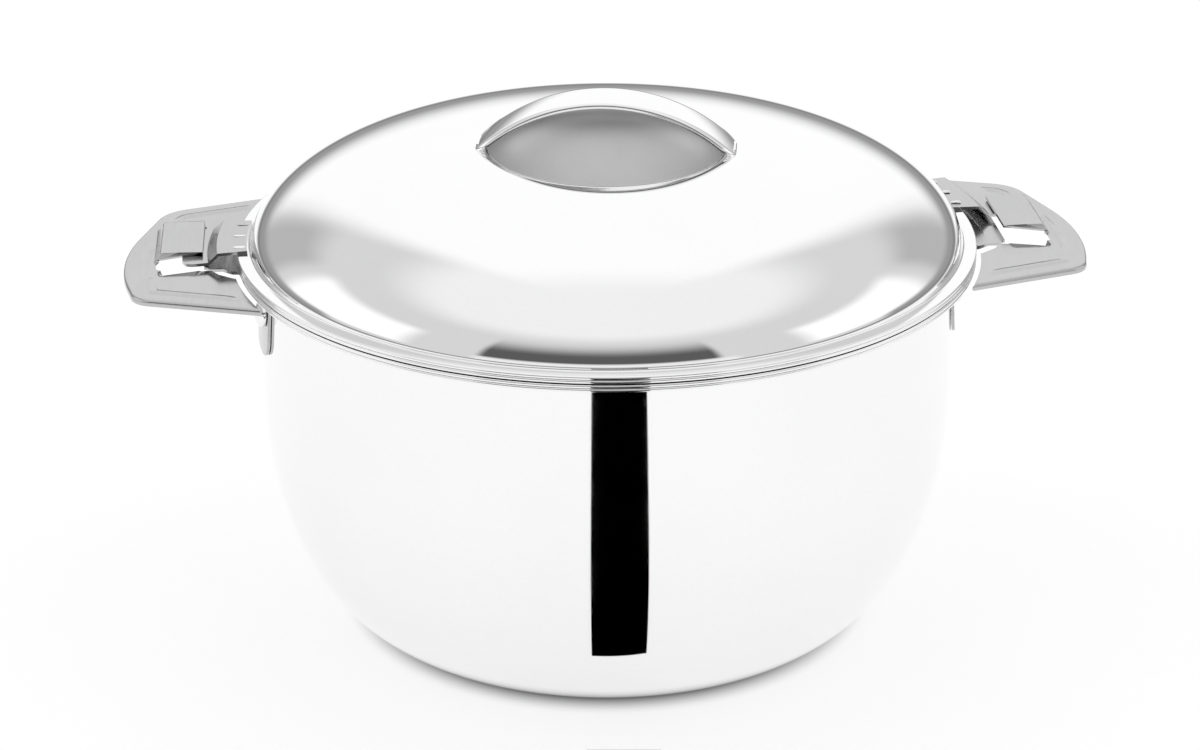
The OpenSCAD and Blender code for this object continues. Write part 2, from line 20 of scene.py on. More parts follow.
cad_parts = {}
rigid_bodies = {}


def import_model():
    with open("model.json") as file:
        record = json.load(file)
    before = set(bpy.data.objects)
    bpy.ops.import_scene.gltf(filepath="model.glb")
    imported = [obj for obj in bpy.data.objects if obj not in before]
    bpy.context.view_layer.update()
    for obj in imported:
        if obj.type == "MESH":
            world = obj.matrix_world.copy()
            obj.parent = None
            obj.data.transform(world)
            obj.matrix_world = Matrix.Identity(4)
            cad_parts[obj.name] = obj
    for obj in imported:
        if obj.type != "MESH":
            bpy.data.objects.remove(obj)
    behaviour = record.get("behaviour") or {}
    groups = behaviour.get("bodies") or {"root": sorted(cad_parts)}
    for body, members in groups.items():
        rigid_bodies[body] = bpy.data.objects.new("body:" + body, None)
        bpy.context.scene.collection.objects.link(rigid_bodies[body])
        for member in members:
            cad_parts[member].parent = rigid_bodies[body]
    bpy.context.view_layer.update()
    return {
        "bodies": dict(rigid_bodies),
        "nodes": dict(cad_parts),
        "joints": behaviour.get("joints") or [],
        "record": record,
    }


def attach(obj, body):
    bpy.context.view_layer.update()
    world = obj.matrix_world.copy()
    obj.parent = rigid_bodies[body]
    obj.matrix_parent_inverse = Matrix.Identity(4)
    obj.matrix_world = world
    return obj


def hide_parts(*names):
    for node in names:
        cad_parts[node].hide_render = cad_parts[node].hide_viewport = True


LOG = logging.getLogger("pot")
MM = 0.001
SHARP_ANGLE = 32.0
CORNER_STEPS = 14
MERGE_DISTANCE = 1e-6
BLUE_CAST = 1.005

Flat = tuple[float, float]
Solid = tuple[float, float, float]


class Body(Enum):
    """Moving bodies of the frame."""

    POT = "pot"
    SEAL = "seal"
    LID = "lid"


class Side(Enum):
    """Side of the pot, as the sign of X."""

    LEFT = -1
    RIGHT = 1

    def place(self, x: float, y: float, z: float) -> Solid:
        """The point of the right side, or its mirror image."""
        return (self.value * x, y, z)

    @property
    def word(self) -> str:
        """Name of the side in lower case."""
        return self.name.lower()


# ---------------------------------------------------------------- sizes


@dataclass(frozen=True)
class PotSizes:
    """Sizes shared by the pot, its lid and its handles, in millimetres."""

    bowl_r: float = 108.5
    pot_h: float = 131.5
    sheet: float = 0.6
    neck_gap: float = 6.1
    belly_out: float = 2.4
    belly_z: float = 84.0
    base_turn: float = 41.5
    floor_gap: float = 12.0
    bowl_turn: float = 34.0
    rim_out: float = 9.2
    hem: float = 1.2
    seam_gap: float = 0.35
    brim_w: float = 4.5
    dome_h: float = 31.0
    dome_power: float = 3.8
    dome_round: float = 1.65
    plug_depth: float = 9.0
    seal_room: float = 3.6
    dish_rise: float = 8.0
    cup_r: float = 40.8
    cup_depth: float = 22.0
    plate: float = 1.0
    lock_turn: float = 4.6
    ear_back: float = 6.9
    ear_span: float = 13.8
    ear_drop: float = 3.7
    flange_gap: float = 0.2
    turn_share: float = 0.85
    hem_slack: float = 0.05
    hole_gap: float = 0.4

    @property
    def neck_r(self) -> float:
        """Outside radius of the neck."""
        return self.bowl_r + 2 * self.sheet + self.neck_gap

    @property
    def belly_r(self) -> float:
        """Outside radius of the belly."""
        return self.neck_r + self.belly_out

    @property
    def base_r(self) -> float:
        """Radius of the flat base."""
        return self.belly_r - self.base_turn

    @property
    def rim_r(self) -> float:
        """Outside radius of the rolled edges."""
        return self.neck_r + self.rim_out

    @property
    def hem_r(self) -> float:
        """Radius of one rolled edge."""
        return self.hem / 2

    @property
    def hem_pitch(self) -> float:
        """Height from one rolled edge to the next."""
        return self.hem + self.hem_slack

    @property
    def rim_under(self) -> float:
        """Height of the rim's underside."""
        return self.pot_h - self.hem - self.hem_pitch

    @property
    def dish_top(self) -> float:
        """Top of the dish's rolled edge."""
        return self.pot_h + self.seam_gap + self.hem

    @property
    def brim_z(self) -> float:
        """Top of the dome's brim."""
        return self.dish_top + self.hem_pitch

    @property
    def foot_r(self) -> float:
        """Radius at which the dome meets its brim."""
        return self.rim_r - self.brim_w

    @property
    def plug_r(self) -> float:
        """Radius of the lid's plug."""
        return self.bowl_r - self.seal_room

    @property
    def plug_z(self) -> float:
        """Height of the plug's underside."""
        return self.pot_h - self.plug_depth

    @property
    def hole_r(self) -> float:
        """Radius of the hole in the dome."""
        return self.cup_r - self.hole_gap

    @property
    def bowl_floor_z(self) -> float:
        """Height of the bowl's floor."""
        return 2 * self.sheet + self.floor_gap

    @property
    def bowl_turn_z(self) -> float:
        """Height at which the bowl's wall starts to turn in to its floor."""
        return self.bowl_floor_z + (self.belly_z - self.bowl_floor_z) * self.turn_share

    def body_r(self, z: float) -> float:
        """Outside radius of the pot at a height."""
        if z < self.belly_z:
            drop = (self.belly_z - z) / self.belly_z
            return self.base_r + self.base_turn * math.sqrt(max(0.0, 1 - drop * drop))
        rise = (z - self.belly_z) / (self.rim_under - self.belly_z)
        return self.belly_r - self.belly_out * rise * rise

    def bowl_in(self, z: float, grown: float) -> float:
        """Inside radius of the bowl at a height, grown outwards."""
        turn_z = self.bowl_turn_z
        if z >= turn_z:
            return self.bowl_r + grown
        drop = (turn_z - z) / (turn_z - self.bowl_floor_z + grown)
        floor_r = self.bowl_r - self.bowl_turn
        return floor_r + (self.bowl_turn + grown) * math.sqrt(max(0.0, 1 - drop * drop))

    def dome_top(self, r: float, shrunk: float = 0.0) -> float:
        """Height of the dome at a radius, shrunk inwards."""
        fall = 1 - (r / (self.foot_r - shrunk)) ** self.dome_power
        return self.brim_z + (self.dome_h - shrunk) * max(0.0, fall) ** (1 / self.dome_round)

    def rolled(self, z: float, count: int = 20) -> list[Flat]:
        """Rolled edge, from its top round to the underside of its flange.

        Args:
            z: Height of the edge's top.
            count: Number of steps round it.

        Returns:
            Points as radius and height.
        """
        end = -180 + math.degrees(math.asin((self.sheet - self.hem_r) / self.hem_r))
        return [(self.rim_r - self.hem_r + self.hem_r * cosd(a),
                 z - self.hem_r + self.hem_r * sind(a)) for a in steps(90, end, count)]


# ---------------------------------------------------------------- small helpers


def cosd(angle: float) -> float:
    """Cosine of an angle in degrees."""
    return math.cos(math.radians(angle))


def sind(angle: float) -> float:
    """Sine of an angle in degrees."""
    return math.sin(math.radians(angle))


def steps(start: float, end: float, count: int) -> list[float]:
    """Evenly spaced values from start to end."""
    return [start + (end - start) * i / count for i in range(count + 1)]


def low_steps(start: float, end: float, count: int) -> list[float]:
    """Values from start to end that lie closer together near the start."""
    return [start + (end - start) * (1 - cosd(90 * i / count)) for i in range(count + 1)]


def smooth(value: float) -> float:
    """Smooth step from 0 at 0 to 1 at 1."""
    t = min(1.0, max(0.0, value))
    return t * t * (3 - 2 * t)


def turned(point: Solid, angle: float) -> Solid:
    """The point turned about the pot's axis by an angle in degrees."""
    c, s = cosd(angle), sind(angle)
    return (point[0] * c - point[1] * s, point[0] * s + point[1] * c, point[2])


def in_metres(points: Sequence[Solid]) -> list[Solid]:
    """The points in metres, from millimetres."""
    return [(x * MM, y * MM, z * MM) for x, y, z in points]


def linked(name: str, data: bpy.types.ID) -> bpy.types.Object:
    """Makes an object of some data and links it to the scene."""
    made = bpy.data.objects.new(name, data)
    bpy.context.scene.collection.objects.link(made)
    return made


def add_mesh(name: str, points: Sequence[Solid], faces: Sequence[Sequence[int]],
             material: bpy.types.Material, sharp: float = SHARP_ANGLE) -> bpy.types.Object:
    """Makes a closed smooth mesh object from points in millimetres.

    Args:
        name: Name of the piece.
        points: Points in millimetres.
        faces: Faces as indices of points.
        material: Finish of the piece.
        sharp: Angle in degrees past which an edge stays sharp.

    Returns:
        The object, at the origin, with its place in its mesh.
    """
    mesh = bpy.data.meshes.new(name)
    mesh.from_pydata(in_metres(points), [], [list(f) for f in faces])
    return add_piece(name, mesh, material, sharp)


def add_piece(name: str, mesh: bpy.types.Mesh, material: bpy.types.Material,
              sharp: float = SHARP_ANGLE) -> bpy.types.Object:
    """Cleans a mesh, turns its faces outwards, shades it and links it.

    Args:
        name: Name of the piece.
        mesh: The mesh, in metres.
        material: Finish of the piece.
        sharp: Angle in degrees past which an edge stays sharp.

    Returns:
        The object that holds the mesh.
    """
    work = bmesh.new()
    work.from_mesh(mesh)
    bmesh.ops.remove_doubles(work, verts=work.verts, dist=MERGE_DISTANCE)
    bmesh.ops.recalc_face_normals(work, faces=work.faces)
    work.to_mesh(mesh)
    work.free()
    mesh.materials.clear()
    mesh.materials.append(material)
    mesh.shade_smooth()
    mesh.set_sharp_from_angle(angle=math.radians(sharp))
    return linked(name, mesh)


def settle(piece: bpy.types.Object, body: Body, nodes: Sequence[str]) -> None:
    """Puts a piece on its body in place of its frame nodes, and reports it.

    Args:
        piece: The piece.
        body: Body that it rides on.
        nodes: Frame nodes that it stands for.
    """
    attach(piece, body.value)
    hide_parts(*nodes)
    LOG.info("%s: %d faces on %s", piece.name, len(piece.data.polygons), body.value)


# ---------------------------------------------------------------- node trees


class Tree:
    """Short way to add and join nodes in one node tree."""

    def __init__(self, tree: bpy.types.NodeTree) -> None:
        """Keeps the tree."""
        self.tree = tree

    def add(self, kind: str, settings: Optional[dict] = None, **inputs: object) -> bpy.types.Node:
        """Adds a node.

        Args:
            kind: Type of the node.
            settings: Properties to set on the node.
            inputs: Values or sockets for its inputs, by name; spaces are underscores,
                and i0, i1 and so on name inputs by their place.

        Returns:
            The node.
        """
        node = self.tree.nodes.new(kind)
        for key, value in (settings or {}).items():
            setattr(node, key, value)
        for key, value in inputs.items():
            place = key[1:]
            socket = node.inputs[int(place)] if key[0] == "i" and place.isdigit() \
                else node.inputs[key.replace("_", " ")]
            if isinstance(value, bpy.types.NodeSocket):
                self.tree.links.new(value, socket)
            else:
                socket.default_value = value
        return node

    def math(self, operation: str, first: object, second: object = 0.0,
             third: object = 0.0) -> bpy.types.NodeSocket:
        """Result of a math node."""
        return self.add("ShaderNodeMath", {"operation": operation},
                        i0=first, i1=second, i2=third).outputs[0]

    def ramp(self, value: object, low: float, high: float) -> bpy.types.NodeSocket:
        """Smooth step of a value from 0 at low to 1 at high, low above high turns it round."""
        start, end, first, last = (low, high, 0.0, 1.0) if low < high else (high, low, 1.0, 0.0)
        return self.add("ShaderNodeMapRange", {"interpolation_type": "SMOOTHSTEP"},
                        i0=value, i1=start, i2=end, i3=first, i4=last).outputs[0]

    def noise(self, where: object, scale: float, detail: float = 3.0,
              rough: float = 0.5) -> bpy.types.NodeSocket:
        """Value of a noise texture."""
        return self.add("ShaderNodeTexNoise", Vector=where, Scale=scale, Detail=detail,
                        Roughness=rough).outputs[0]


def new_group(name: str, kind: str, inputs: Sequence[tuple], outputs: Sequence[tuple]) -> tuple:
    """Makes a node group with its sockets.

    Args:
        name: Name of the group.
        kind: Type of the tree.
        inputs: Name, socket type and default value of each input.
        outputs: Name and socket type of each output.

    Returns:
        The helper for the tree, its input node and its output node.
    """
    group = bpy.data.node_groups.new(name, kind)
    for label, socket, value in inputs:
        item = group.interface.new_socket(name=label, in_out="INPUT", socket_type=socket)
        if value is not None:
            item.default_value = value
    for label, socket in outputs:
        group.interface.new_socket(name=label, in_out="OUTPUT", socket_type=socket)
    return Tree(group), group.nodes.new("NodeGroupInput"), group.nodes.new("NodeGroupOutput")


def blank_material(name: str) -> tuple[bpy.types.Material, Tree]:
    """Makes a material with an empty node tree, and the helper for that tree."""
    material = bpy.data.materials.new(name)
    material.use_nodes = True
    material.node_tree.nodes.clear()
    return material, Tree(material.node_tree)


def sheen_group() -> bpy.types.NodeTree:
    """Group for rolled and polished steel: colour, roughness and height.

    Returns:
        The shader node group, made once.
    """
    known = bpy.data.node_groups.get("Polished Sheet")
    if known:
        return known
    tree, gin, gout = new_group(
        "Polished Sheet", "ShaderNodeTree",
        [("Light Tone", "NodeSocketColor", (0.9, 0.9, 0.9, 1)),
         ("Dark Tone", "NodeSocketColor", (0.8, 0.8, 0.8, 1)),
         ("Least Roughness", "NodeSocketFloat", 0.03),
         ("Most Roughness", "NodeSocketFloat", 0.08),
         ("Grain Stretch", "NodeSocketVector", (1.0, 1.0, 1.0))],
        [("Color", "NodeSocketColor"), ("Roughness", "NodeSocketFloat"),
         ("Height", "NodeSocketFloat")])
    where = tree.add("ShaderNodeTexCoord").outputs["Object"]
    cloud = tree.noise(where, 14.0, 2.0)
    along = tree.add("ShaderNodeVectorMath", {"operation": "MULTIPLY"},
                     i0=where, i1=gin.outputs["Grain Stretch"]).outputs[0]
    grain = tree.noise(along, 900.0, 4.0, 0.6)
    wipe = tree.noise(where, 55.0, 3.0, 0.65)
    mixed = tree.math("ADD", tree.math("MULTIPLY", cloud, 0.6), tree.math("MULTIPLY", grain, 0.4))
    tone = tree.add("ShaderNodeMix", {"data_type": "RGBA"}, i0=tree.ramp(mixed, 0.3, 0.7),
                    i6=gin.outputs["Dark Tone"], i7=gin.outputs["Light Tone"])
    spread = tree.math("SUBTRACT", gin.outputs["Most Roughness"], gin.outputs["Least Roughness"])
    blur = tree.math("ADD", tree.math("MULTIPLY", wipe, 0.7), tree.math("MULTIPLY", grain, 0.3))
    rough = tree.math("MULTIPLY_ADD", tree.ramp(blur, 0.3, 0.75), spread,
                      gin.outputs["Least Roughness"])
    links = tree.tree.links
    links.new(tone.outputs[2], gout.inputs["Color"])
    links.new(rough, gout.inputs["Roughness"])
    links.new(grain, gout.inputs["Height"])
    return tree.tree


def speck_group() -> bpy.types.NodeTree:
    """Group for foam, rubber and moulded plastic: colour, roughness and height.

    Returns:
        The shader node group, made once.
    """
    known = bpy.data.node_groups.get("Moulded Skin")
    if known:
        return known
    tree, gin, gout = new_group(
        "Moulded Skin", "ShaderNodeTree",
        [("Tone", "NodeSocketColor", (0.5, 0.5, 0.5, 1)),
         ("Deep Tone", "NodeSocketColor", (0.3, 0.3, 0.3, 1)),
         ("Grain", "NodeSocketFloat", 800.0), ("Base Roughness", "NodeSocketFloat", 0.6)],
        [("Color", "NodeSocketColor"), ("Roughness", "NodeSocketFloat"),
         ("Height", "NodeSocketFloat")])
    where = tree.add("ShaderNodeTexCoord").outputs["Object"]
    cells = tree.add("ShaderNodeTexVoronoi", Vector=where, Scale=gin.outputs["Grain"]).outputs[0]
    cloud = tree.noise(where, 60.0, 4.0)
    mask = tree.ramp(tree.math("ADD", tree.math("MULTIPLY", cells, 0.5),
                               tree.math("MULTIPLY", cloud, 0.6)), 0.25, 0.8)
    tone = tree.add("ShaderNodeMix", {"data_type": "RGBA"}, i0=mask,
                    i6=gin.outputs["Deep Tone"], i7=gin.outputs["Tone"])
    rough = tree.math("MULTIPLY_ADD", cloud, 0.2, gin.outputs["Base Roughness"])
    links = tree.tree.links
    links.new(tone.outputs[2], gout.inputs["Color"])
    links.new(rough, gout.inputs["Roughness"])
    links.new(cells, gout.inputs["Height"])
    return tree.tree


# ---------------------------------------------------------------- finishes


@dataclass(frozen=True)
class SteelFinish:
    """Finish of a steel sheet, from mirror polish to a plain rolled sheet."""

    name: str
    light: float
    dark: float
    least: float
    most: float
    relief: float = 0.0
    stretch: Solid = (1.0, 1.0, 1.0)

    def material(self) -> bpy.types.Material:
        """Makes the material."""
        material, tree = blank_material(self.name)
        group = tree.add("ShaderNodeGroup", {"node_tree": sheen_group()},
                         Light_Tone=(self.light, self.light, self.light * BLUE_CAST, 1),
                         Dark_Tone=(self.dark, self.dark, self.dark * BLUE_CAST, 1),
                         Least_Roughness=self.least, Most_Roughness=self.most,
                         Grain_Stretch=self.stretch)
        shader = tree.add("ShaderNodeBsdfPrincipled", Base_Color=group.outputs["Color"],
                          Metallic=1.0, Roughness=group.outputs["Roughness"])
        if self.relief:
            bump = tree.add("ShaderNodeBump", Strength=self.relief, Distance=0.00002,
                            Height=group.outputs["Height"])
            tree.tree.links.new(bump.outputs[0], shader.inputs["Normal"])
        tree.add("ShaderNodeOutputMaterial", Surface=shader.outputs[0])
        return material


@dataclass(frozen=True)
class SoftFinish:
    """Finish of foam, rubber or moulded plastic."""

    name: str
    tone: Solid
    deep: Solid
    grain: float
    rough: float
    relief: float

    def material(self) -> bpy.types.Material:
        """Makes the material."""
        material, tree = blank_material(self.name)
        group = tree.add("ShaderNodeGroup", {"node_tree": speck_group()},
                         Tone=(*self.tone, 1), Deep_Tone=(*self.deep, 1), Grain=self.grain,
                         Base_Roughness=self.rough)
        bump = tree.add("ShaderNodeBump", Strength=self.relief, Distance=0.0002,
                        Height=group.outputs["Height"])
        shader = tree.add("ShaderNodeBsdfPrincipled", Base_Color=group.outputs["Color"],
                          Roughness=group.outputs["Roughness"], Normal=bump.outputs[0])
        tree.add("ShaderNodeOutputMaterial", Surface=shader.outputs[0])
        return material


MIRROR = SteelFinish("mirror steel", 0.94, 0.915, 0.02, 0.05)
BRIGHT = SteelFinish("bright rolled edge", 0.92, 0.88, 0.05, 0.1)
# Handle and ear steel: a rougher, grained pressed finish, and its dark tone is painted shade that
# stands in for the darker surroundings it mirrors.
PRESSED_PAINTED_SHADE = SteelFinish("pressed handle sheet", 0.54, 0.49, 0.13, 0.22, 0.15, (1.0, 0.12, 1.0))
CUP = SteelFinish("drawn cup steel", 0.64, 0.6, 0.42, 0.48)
PLAIN = SteelFinish("plain backing plate", 0.62, 0.5, 0.25, 0.4, 0.3, (0.2, 1.0, 1.0))
FOAM = SoftFinish("rigid foam", (0.86, 0.78, 0.55), (0.7, 0.6, 0.38), 1400.0, 0.75, 0.5)
RUBBER = SoftFinish("silicone seal", (0.72, 0.72, 0.7), (0.62, 0.62, 0.6), 2600.0, 0.4, 0.1)
PLASTIC = SoftFinish("moulded plug", (0.035, 0.035, 0.04), (0.02, 0.02, 0.024), 3000.0, 0.45, 0.2)


class FinishRack:
    """Makes each finish once and hands it out."""

    def __init__(self) -> None:
        """Starts with no finish made."""
        self._made: dict[str, bpy.types.Material] = {}

    def get(self, finish: SteelFinish | SoftFinish) -> bpy.types.Material:
        """The material of a finish."""
        if finish.name not in self._made:
            self._made[finish.name] = finish.material()
        return self._made[finish.name]


# ---------------------------------------------------------------- shaping


class TurnedSheet:
    """Spins a closed profile about the pot's axis with Geometry Nodes."""

    PATH_R = 1.0

    def __init__(self) -> None:
        """Builds the tree."""
        tree, gin, gout = new_group(
            "Turned Sheet", "GeometryNodeTree",
            [("Profile", "NodeSocketGeometry", None), ("Segments", "NodeSocketInt", 360),
             ("Path Radius", "NodeSocketFloat", self.PATH_R * MM),
             ("Finish", "NodeSocketMaterial", None)],
            [("Geometry", "NodeSocketGeometry")])
        path = tree.add("GeometryNodeCurvePrimitiveCircle", Resolution=gin.outputs["Segments"],
                        Radius=gin.outputs["Path Radius"])
        edge = tree.add("GeometryNodeMeshToCurve", Mesh=gin.outputs["Profile"])
        spun = tree.add("GeometryNodeCurveToMesh", Curve=path.outputs[0])
        tree.tree.links.new(edge.outputs[0], spun.inputs["Profile Curve"])
        joined = tree.add("GeometryNodeMergeByDistance", Geometry=spun.outputs[0],
                          Distance=MERGE_DISTANCE)
        real = tree.add("GeometryNodeRealizeInstances", Geometry=joined.outputs[0])
        done = tree.add("GeometryNodeSetMaterial", Geometry=real.outputs[0],
                        Material=gin.outputs["Finish"])
        tree.tree.links.new(done.outputs[0], gout.inputs[0])
        self.group = tree.tree

    def make(self, name: str, profile: Sequence[Flat], material: bpy.types.Material,
             segments: int = 360, sharp: float = SHARP_ANGLE) -> bpy.types.Object:
        """Makes one turned piece.

        Args:
            name: Name of the piece.
            profile: Closed loop of radius and height, in millimetres.
            material: Finish of the piece.
            segments: Number of steps round the axis.
            sharp: Angle in degrees past which an edge stays sharp.

        Returns:
            The piece as a plain mesh object.
        """
        loop = [p for i, p in enumerate(profile) if math.dist(p, profile[i - 1]) > 0.002]
        mesh = bpy.data.meshes.new(name)
        mesh.from_pydata([((r - self.PATH_R) * MM, -z * MM, 0.0) for r, z in loop],
                         [(i, (i + 1) % len(loop)) for i in range(len(loop))], [])
        values = {"Segments": segments, "Finish": material}
        return add_piece(name, run_tree(mesh, self.group, values), material, sharp)


class FastenerRow:
    """Sets copies of a small mesh on points, each pointing its own way."""

    def __init__(self) -> None:
        """Builds the tree."""
        tree, gin, gout = new_group(
            "Fastener Row", "GeometryNodeTree",
            [("Places", "NodeSocketGeometry", None), ("Fastener", "NodeSocketObject", None),
             ("Size", "NodeSocketFloat", 1.0), ("Finish", "NodeSocketMaterial", None)],
            [("Geometry", "NodeSocketGeometry")])
        points = tree.add("GeometryNodeMeshToPoints", Mesh=gin.outputs["Places"])
        source = tree.add("GeometryNodeObjectInfo", Object=gin.outputs["Fastener"])
        aim = tree.add("GeometryNodeInputNamedAttribute", {"data_type": "FLOAT_VECTOR"}, Name="aim")
        turn = tree.add("FunctionNodeAlignRotationToVector", {"axis": "Z"}, Vector=aim.outputs[0])
        put = tree.add("GeometryNodeInstanceOnPoints", Points=points.outputs[0],
                       Instance=source.outputs["Geometry"], Rotation=turn.outputs[0],
                       Scale=gin.outputs["Size"])
        real = tree.add("GeometryNodeRealizeInstances", Geometry=put.outputs[0])
        done = tree.add("GeometryNodeSetMaterial", Geometry=real.outputs[0],
                        Material=gin.outputs["Finish"])
        tree.tree.links.new(done.outputs[0], gout.inputs[0])
        self.group = tree.tree

    def make(self, name: str, fastener: bpy.types.Object, places: Sequence[Solid],
             aims: Sequence[Solid], material: bpy.types.Material) -> bpy.types.Object:
        """Makes one row as a single mesh.

        Args:
            name: Name of the piece.
            fastener: Source of the copies, standing on its own Z axis.
            places: Points in millimetres.
            aims: Direction of each copy.
            material: Finish of the row.

        Returns:
            The row as a plain mesh object.
        """
        mesh = bpy.data.meshes.new(name)
        mesh.from_pydata(in_metres(places), [], [])
        layer = mesh.attributes.new("aim", "FLOAT_VECTOR", "POINT")
        for item, aim in zip(layer.data, aims):
            item.vector = aim
        values = {"Fastener": fastener, "Finish": material}
        return add_piece(name, run_tree(mesh, self.group, values), material)


def run_tree(mesh: bpy.types.Mesh, group: bpy.types.NodeTree, values: dict) -> bpy.types.Mesh:
    """Runs a Geometry Nodes tree on a mesh and takes the result as a plain mesh.

    Args:
        mesh: Input of the tree.
        group: The tree.
        values: Values of its named inputs.

    Returns:
        The evaluated mesh.
    """
    carrier = linked(mesh.name + " source", mesh)
    modifier = carrier.modifiers.new("shape", "NODES")
    modifier.node_group = group
    for item in group.interface.items_tree:
        if item.item_type == "SOCKET" and item.in_out == "INPUT" and item.name in values:
            modifier[item.identifier] = values[item.name]
    return evaluated(carrier)


def evaluated(carrier: bpy.types.Object) -> bpy.types.Mesh:
    """Plain mesh of an object with its modifiers applied, in place of the object."""
    graph = bpy.context.evaluated_depsgraph_get()
    made = bpy.data.meshes.new_from_object(carrier.evaluated_get(graph))
    bpy.data.objects.remove(carrier)
    return made


def thicken(name: str, points: Sequence[Solid], faces: Sequence[Sequence[int]], wall: float,
            material: bpy.types.Material, upward: Callable[[Vector], bool],
            edge: float = 0.0) -> bpy.types.Object:
    """Gives an open sheet its thickness, away from its outer face.

    Args:
        name: Name of the piece.
        points: Points of the sheet's outer face, in millimetres.
        faces: Its faces.
        wall: Thickness in millimetres.
        material: Finish of the piece.
        upward: Tells from the mean normal whether the faces already point outwards.
        edge: Width of the rounding along the sheet's edges, in millimetres.

    Returns:
        The closed piece.
    """
    mesh = bpy.data.meshes.new(name)
    mesh.from_pydata(in_metres(points), [], [list(f) for f in faces])
    work = bmesh.new()
    work.from_mesh(mesh)
    bmesh.ops.remove_doubles(work, verts=work.verts, dist=2 * MERGE_DISTANCE)
    bmesh.ops.recalc_face_normals(work, faces=work.faces)
    mean = sum((f.normal * f.calc_area() for f in work.faces), Vector())
    if not upward(mean):
        bmesh.ops.reverse_faces(work, faces=work.faces)
    work.to_mesh(mesh)
    work.free()
    carrier = linked(name + " source", mesh)
    solid = carrier.modifiers.new("wall", "SOLIDIFY")
    solid.thickness = wall * MM
    solid.offset = -1.0
    solid.use_even_offset = True
    solid.use_quality_normals = True
    if edge:
        bevel = carrier.modifiers.new("edge", "BEVEL")
        bevel.width = edge * MM
        bevel.segments = 2
        bevel.limit_method = "ANGLE"
        bevel.angle_limit = math.radians(60)
    return add_piece(name, evaluated(carrier), material)


def grid_faces(rows: int, columns: int, first: int = 0) -> list[tuple[int, int, int, int]]:
    """Quads of a grid of points that are stored row by row."""
    return [(first + r * columns + c, first + r * columns + c + 1,
             first + (r + 1) * columns + c + 1, first + (r + 1) * columns + c)
            for r in range(rows - 1) for c in range(columns - 1)]


def ring_faces(rows: int, count: int) -> list[tuple[int, ...]]:
    """Quads between closed rings of points that are stored ring by ring."""
    return [(i * count + j, i * count + (j + 1) % count, (i + 1) * count + (j + 1) % count,
             (i + 1) * count + j) for i in range(rows - 1) for j in range(count)]


def rounded(corners: Sequence[Solid], count: int = CORNER_STEPS) -> list[Flat]:
    """Points of a polygon with rounded corners.

    Args:
        corners: Each corner as x, y and radius.
        count: Number of steps round each corner.

    Returns:
        The points in order.
    """
    out: list[Flat] = []
    for i, (x, y, r) in enumerate(corners):
        p = Vector((x, y))
        u = (Vector(corners[i - 1][:2]) - p).normalized()
        v = (Vector(corners[(i + 1) % len(corners)][:2]) - p).normalized()
        half = u.angle(v) / 2
        mid = p + (u + v).normalized() * (r / math.sin(half))
        a = p + u * (r / math.tan(half)) - mid
        b = p + v * (r / math.tan(half)) - mid
        start = math.atan2(a.y, a.x)
        turn = (math.atan2(b.y, b.x) - start + 3 * math.pi) % (2 * math.pi) - math.pi
        out += [(mid.x + r * math.cos(start + turn * k / count),
                 mid.y + r * math.sin(start + turn * k / count)) for k in range(count + 1)]
    return out


def inside(points: np.ndarray, loop: Sequence[Flat]) -> np.ndarray:
    """Tells which points lie inside a closed loop.

    Args:
        points: Array of points, one per row.
        loop: The loop's corners.

    Returns:
        Array of truth values.
    """
    x, y = points[:, 0], points[:, 1]
    hit = np.zeros(len(points), bool)
    for (ax, ay), (bx, by) in zip(loop, list(loop[1:]) + [loop[0]]):
        if ay != by:
            hit ^= ((ay > y) != (by > y)) & (x < (bx - ax) * (y - ay) / (by - ay) + ax)
    return hit


# ---------------------------------------------------------------- pot


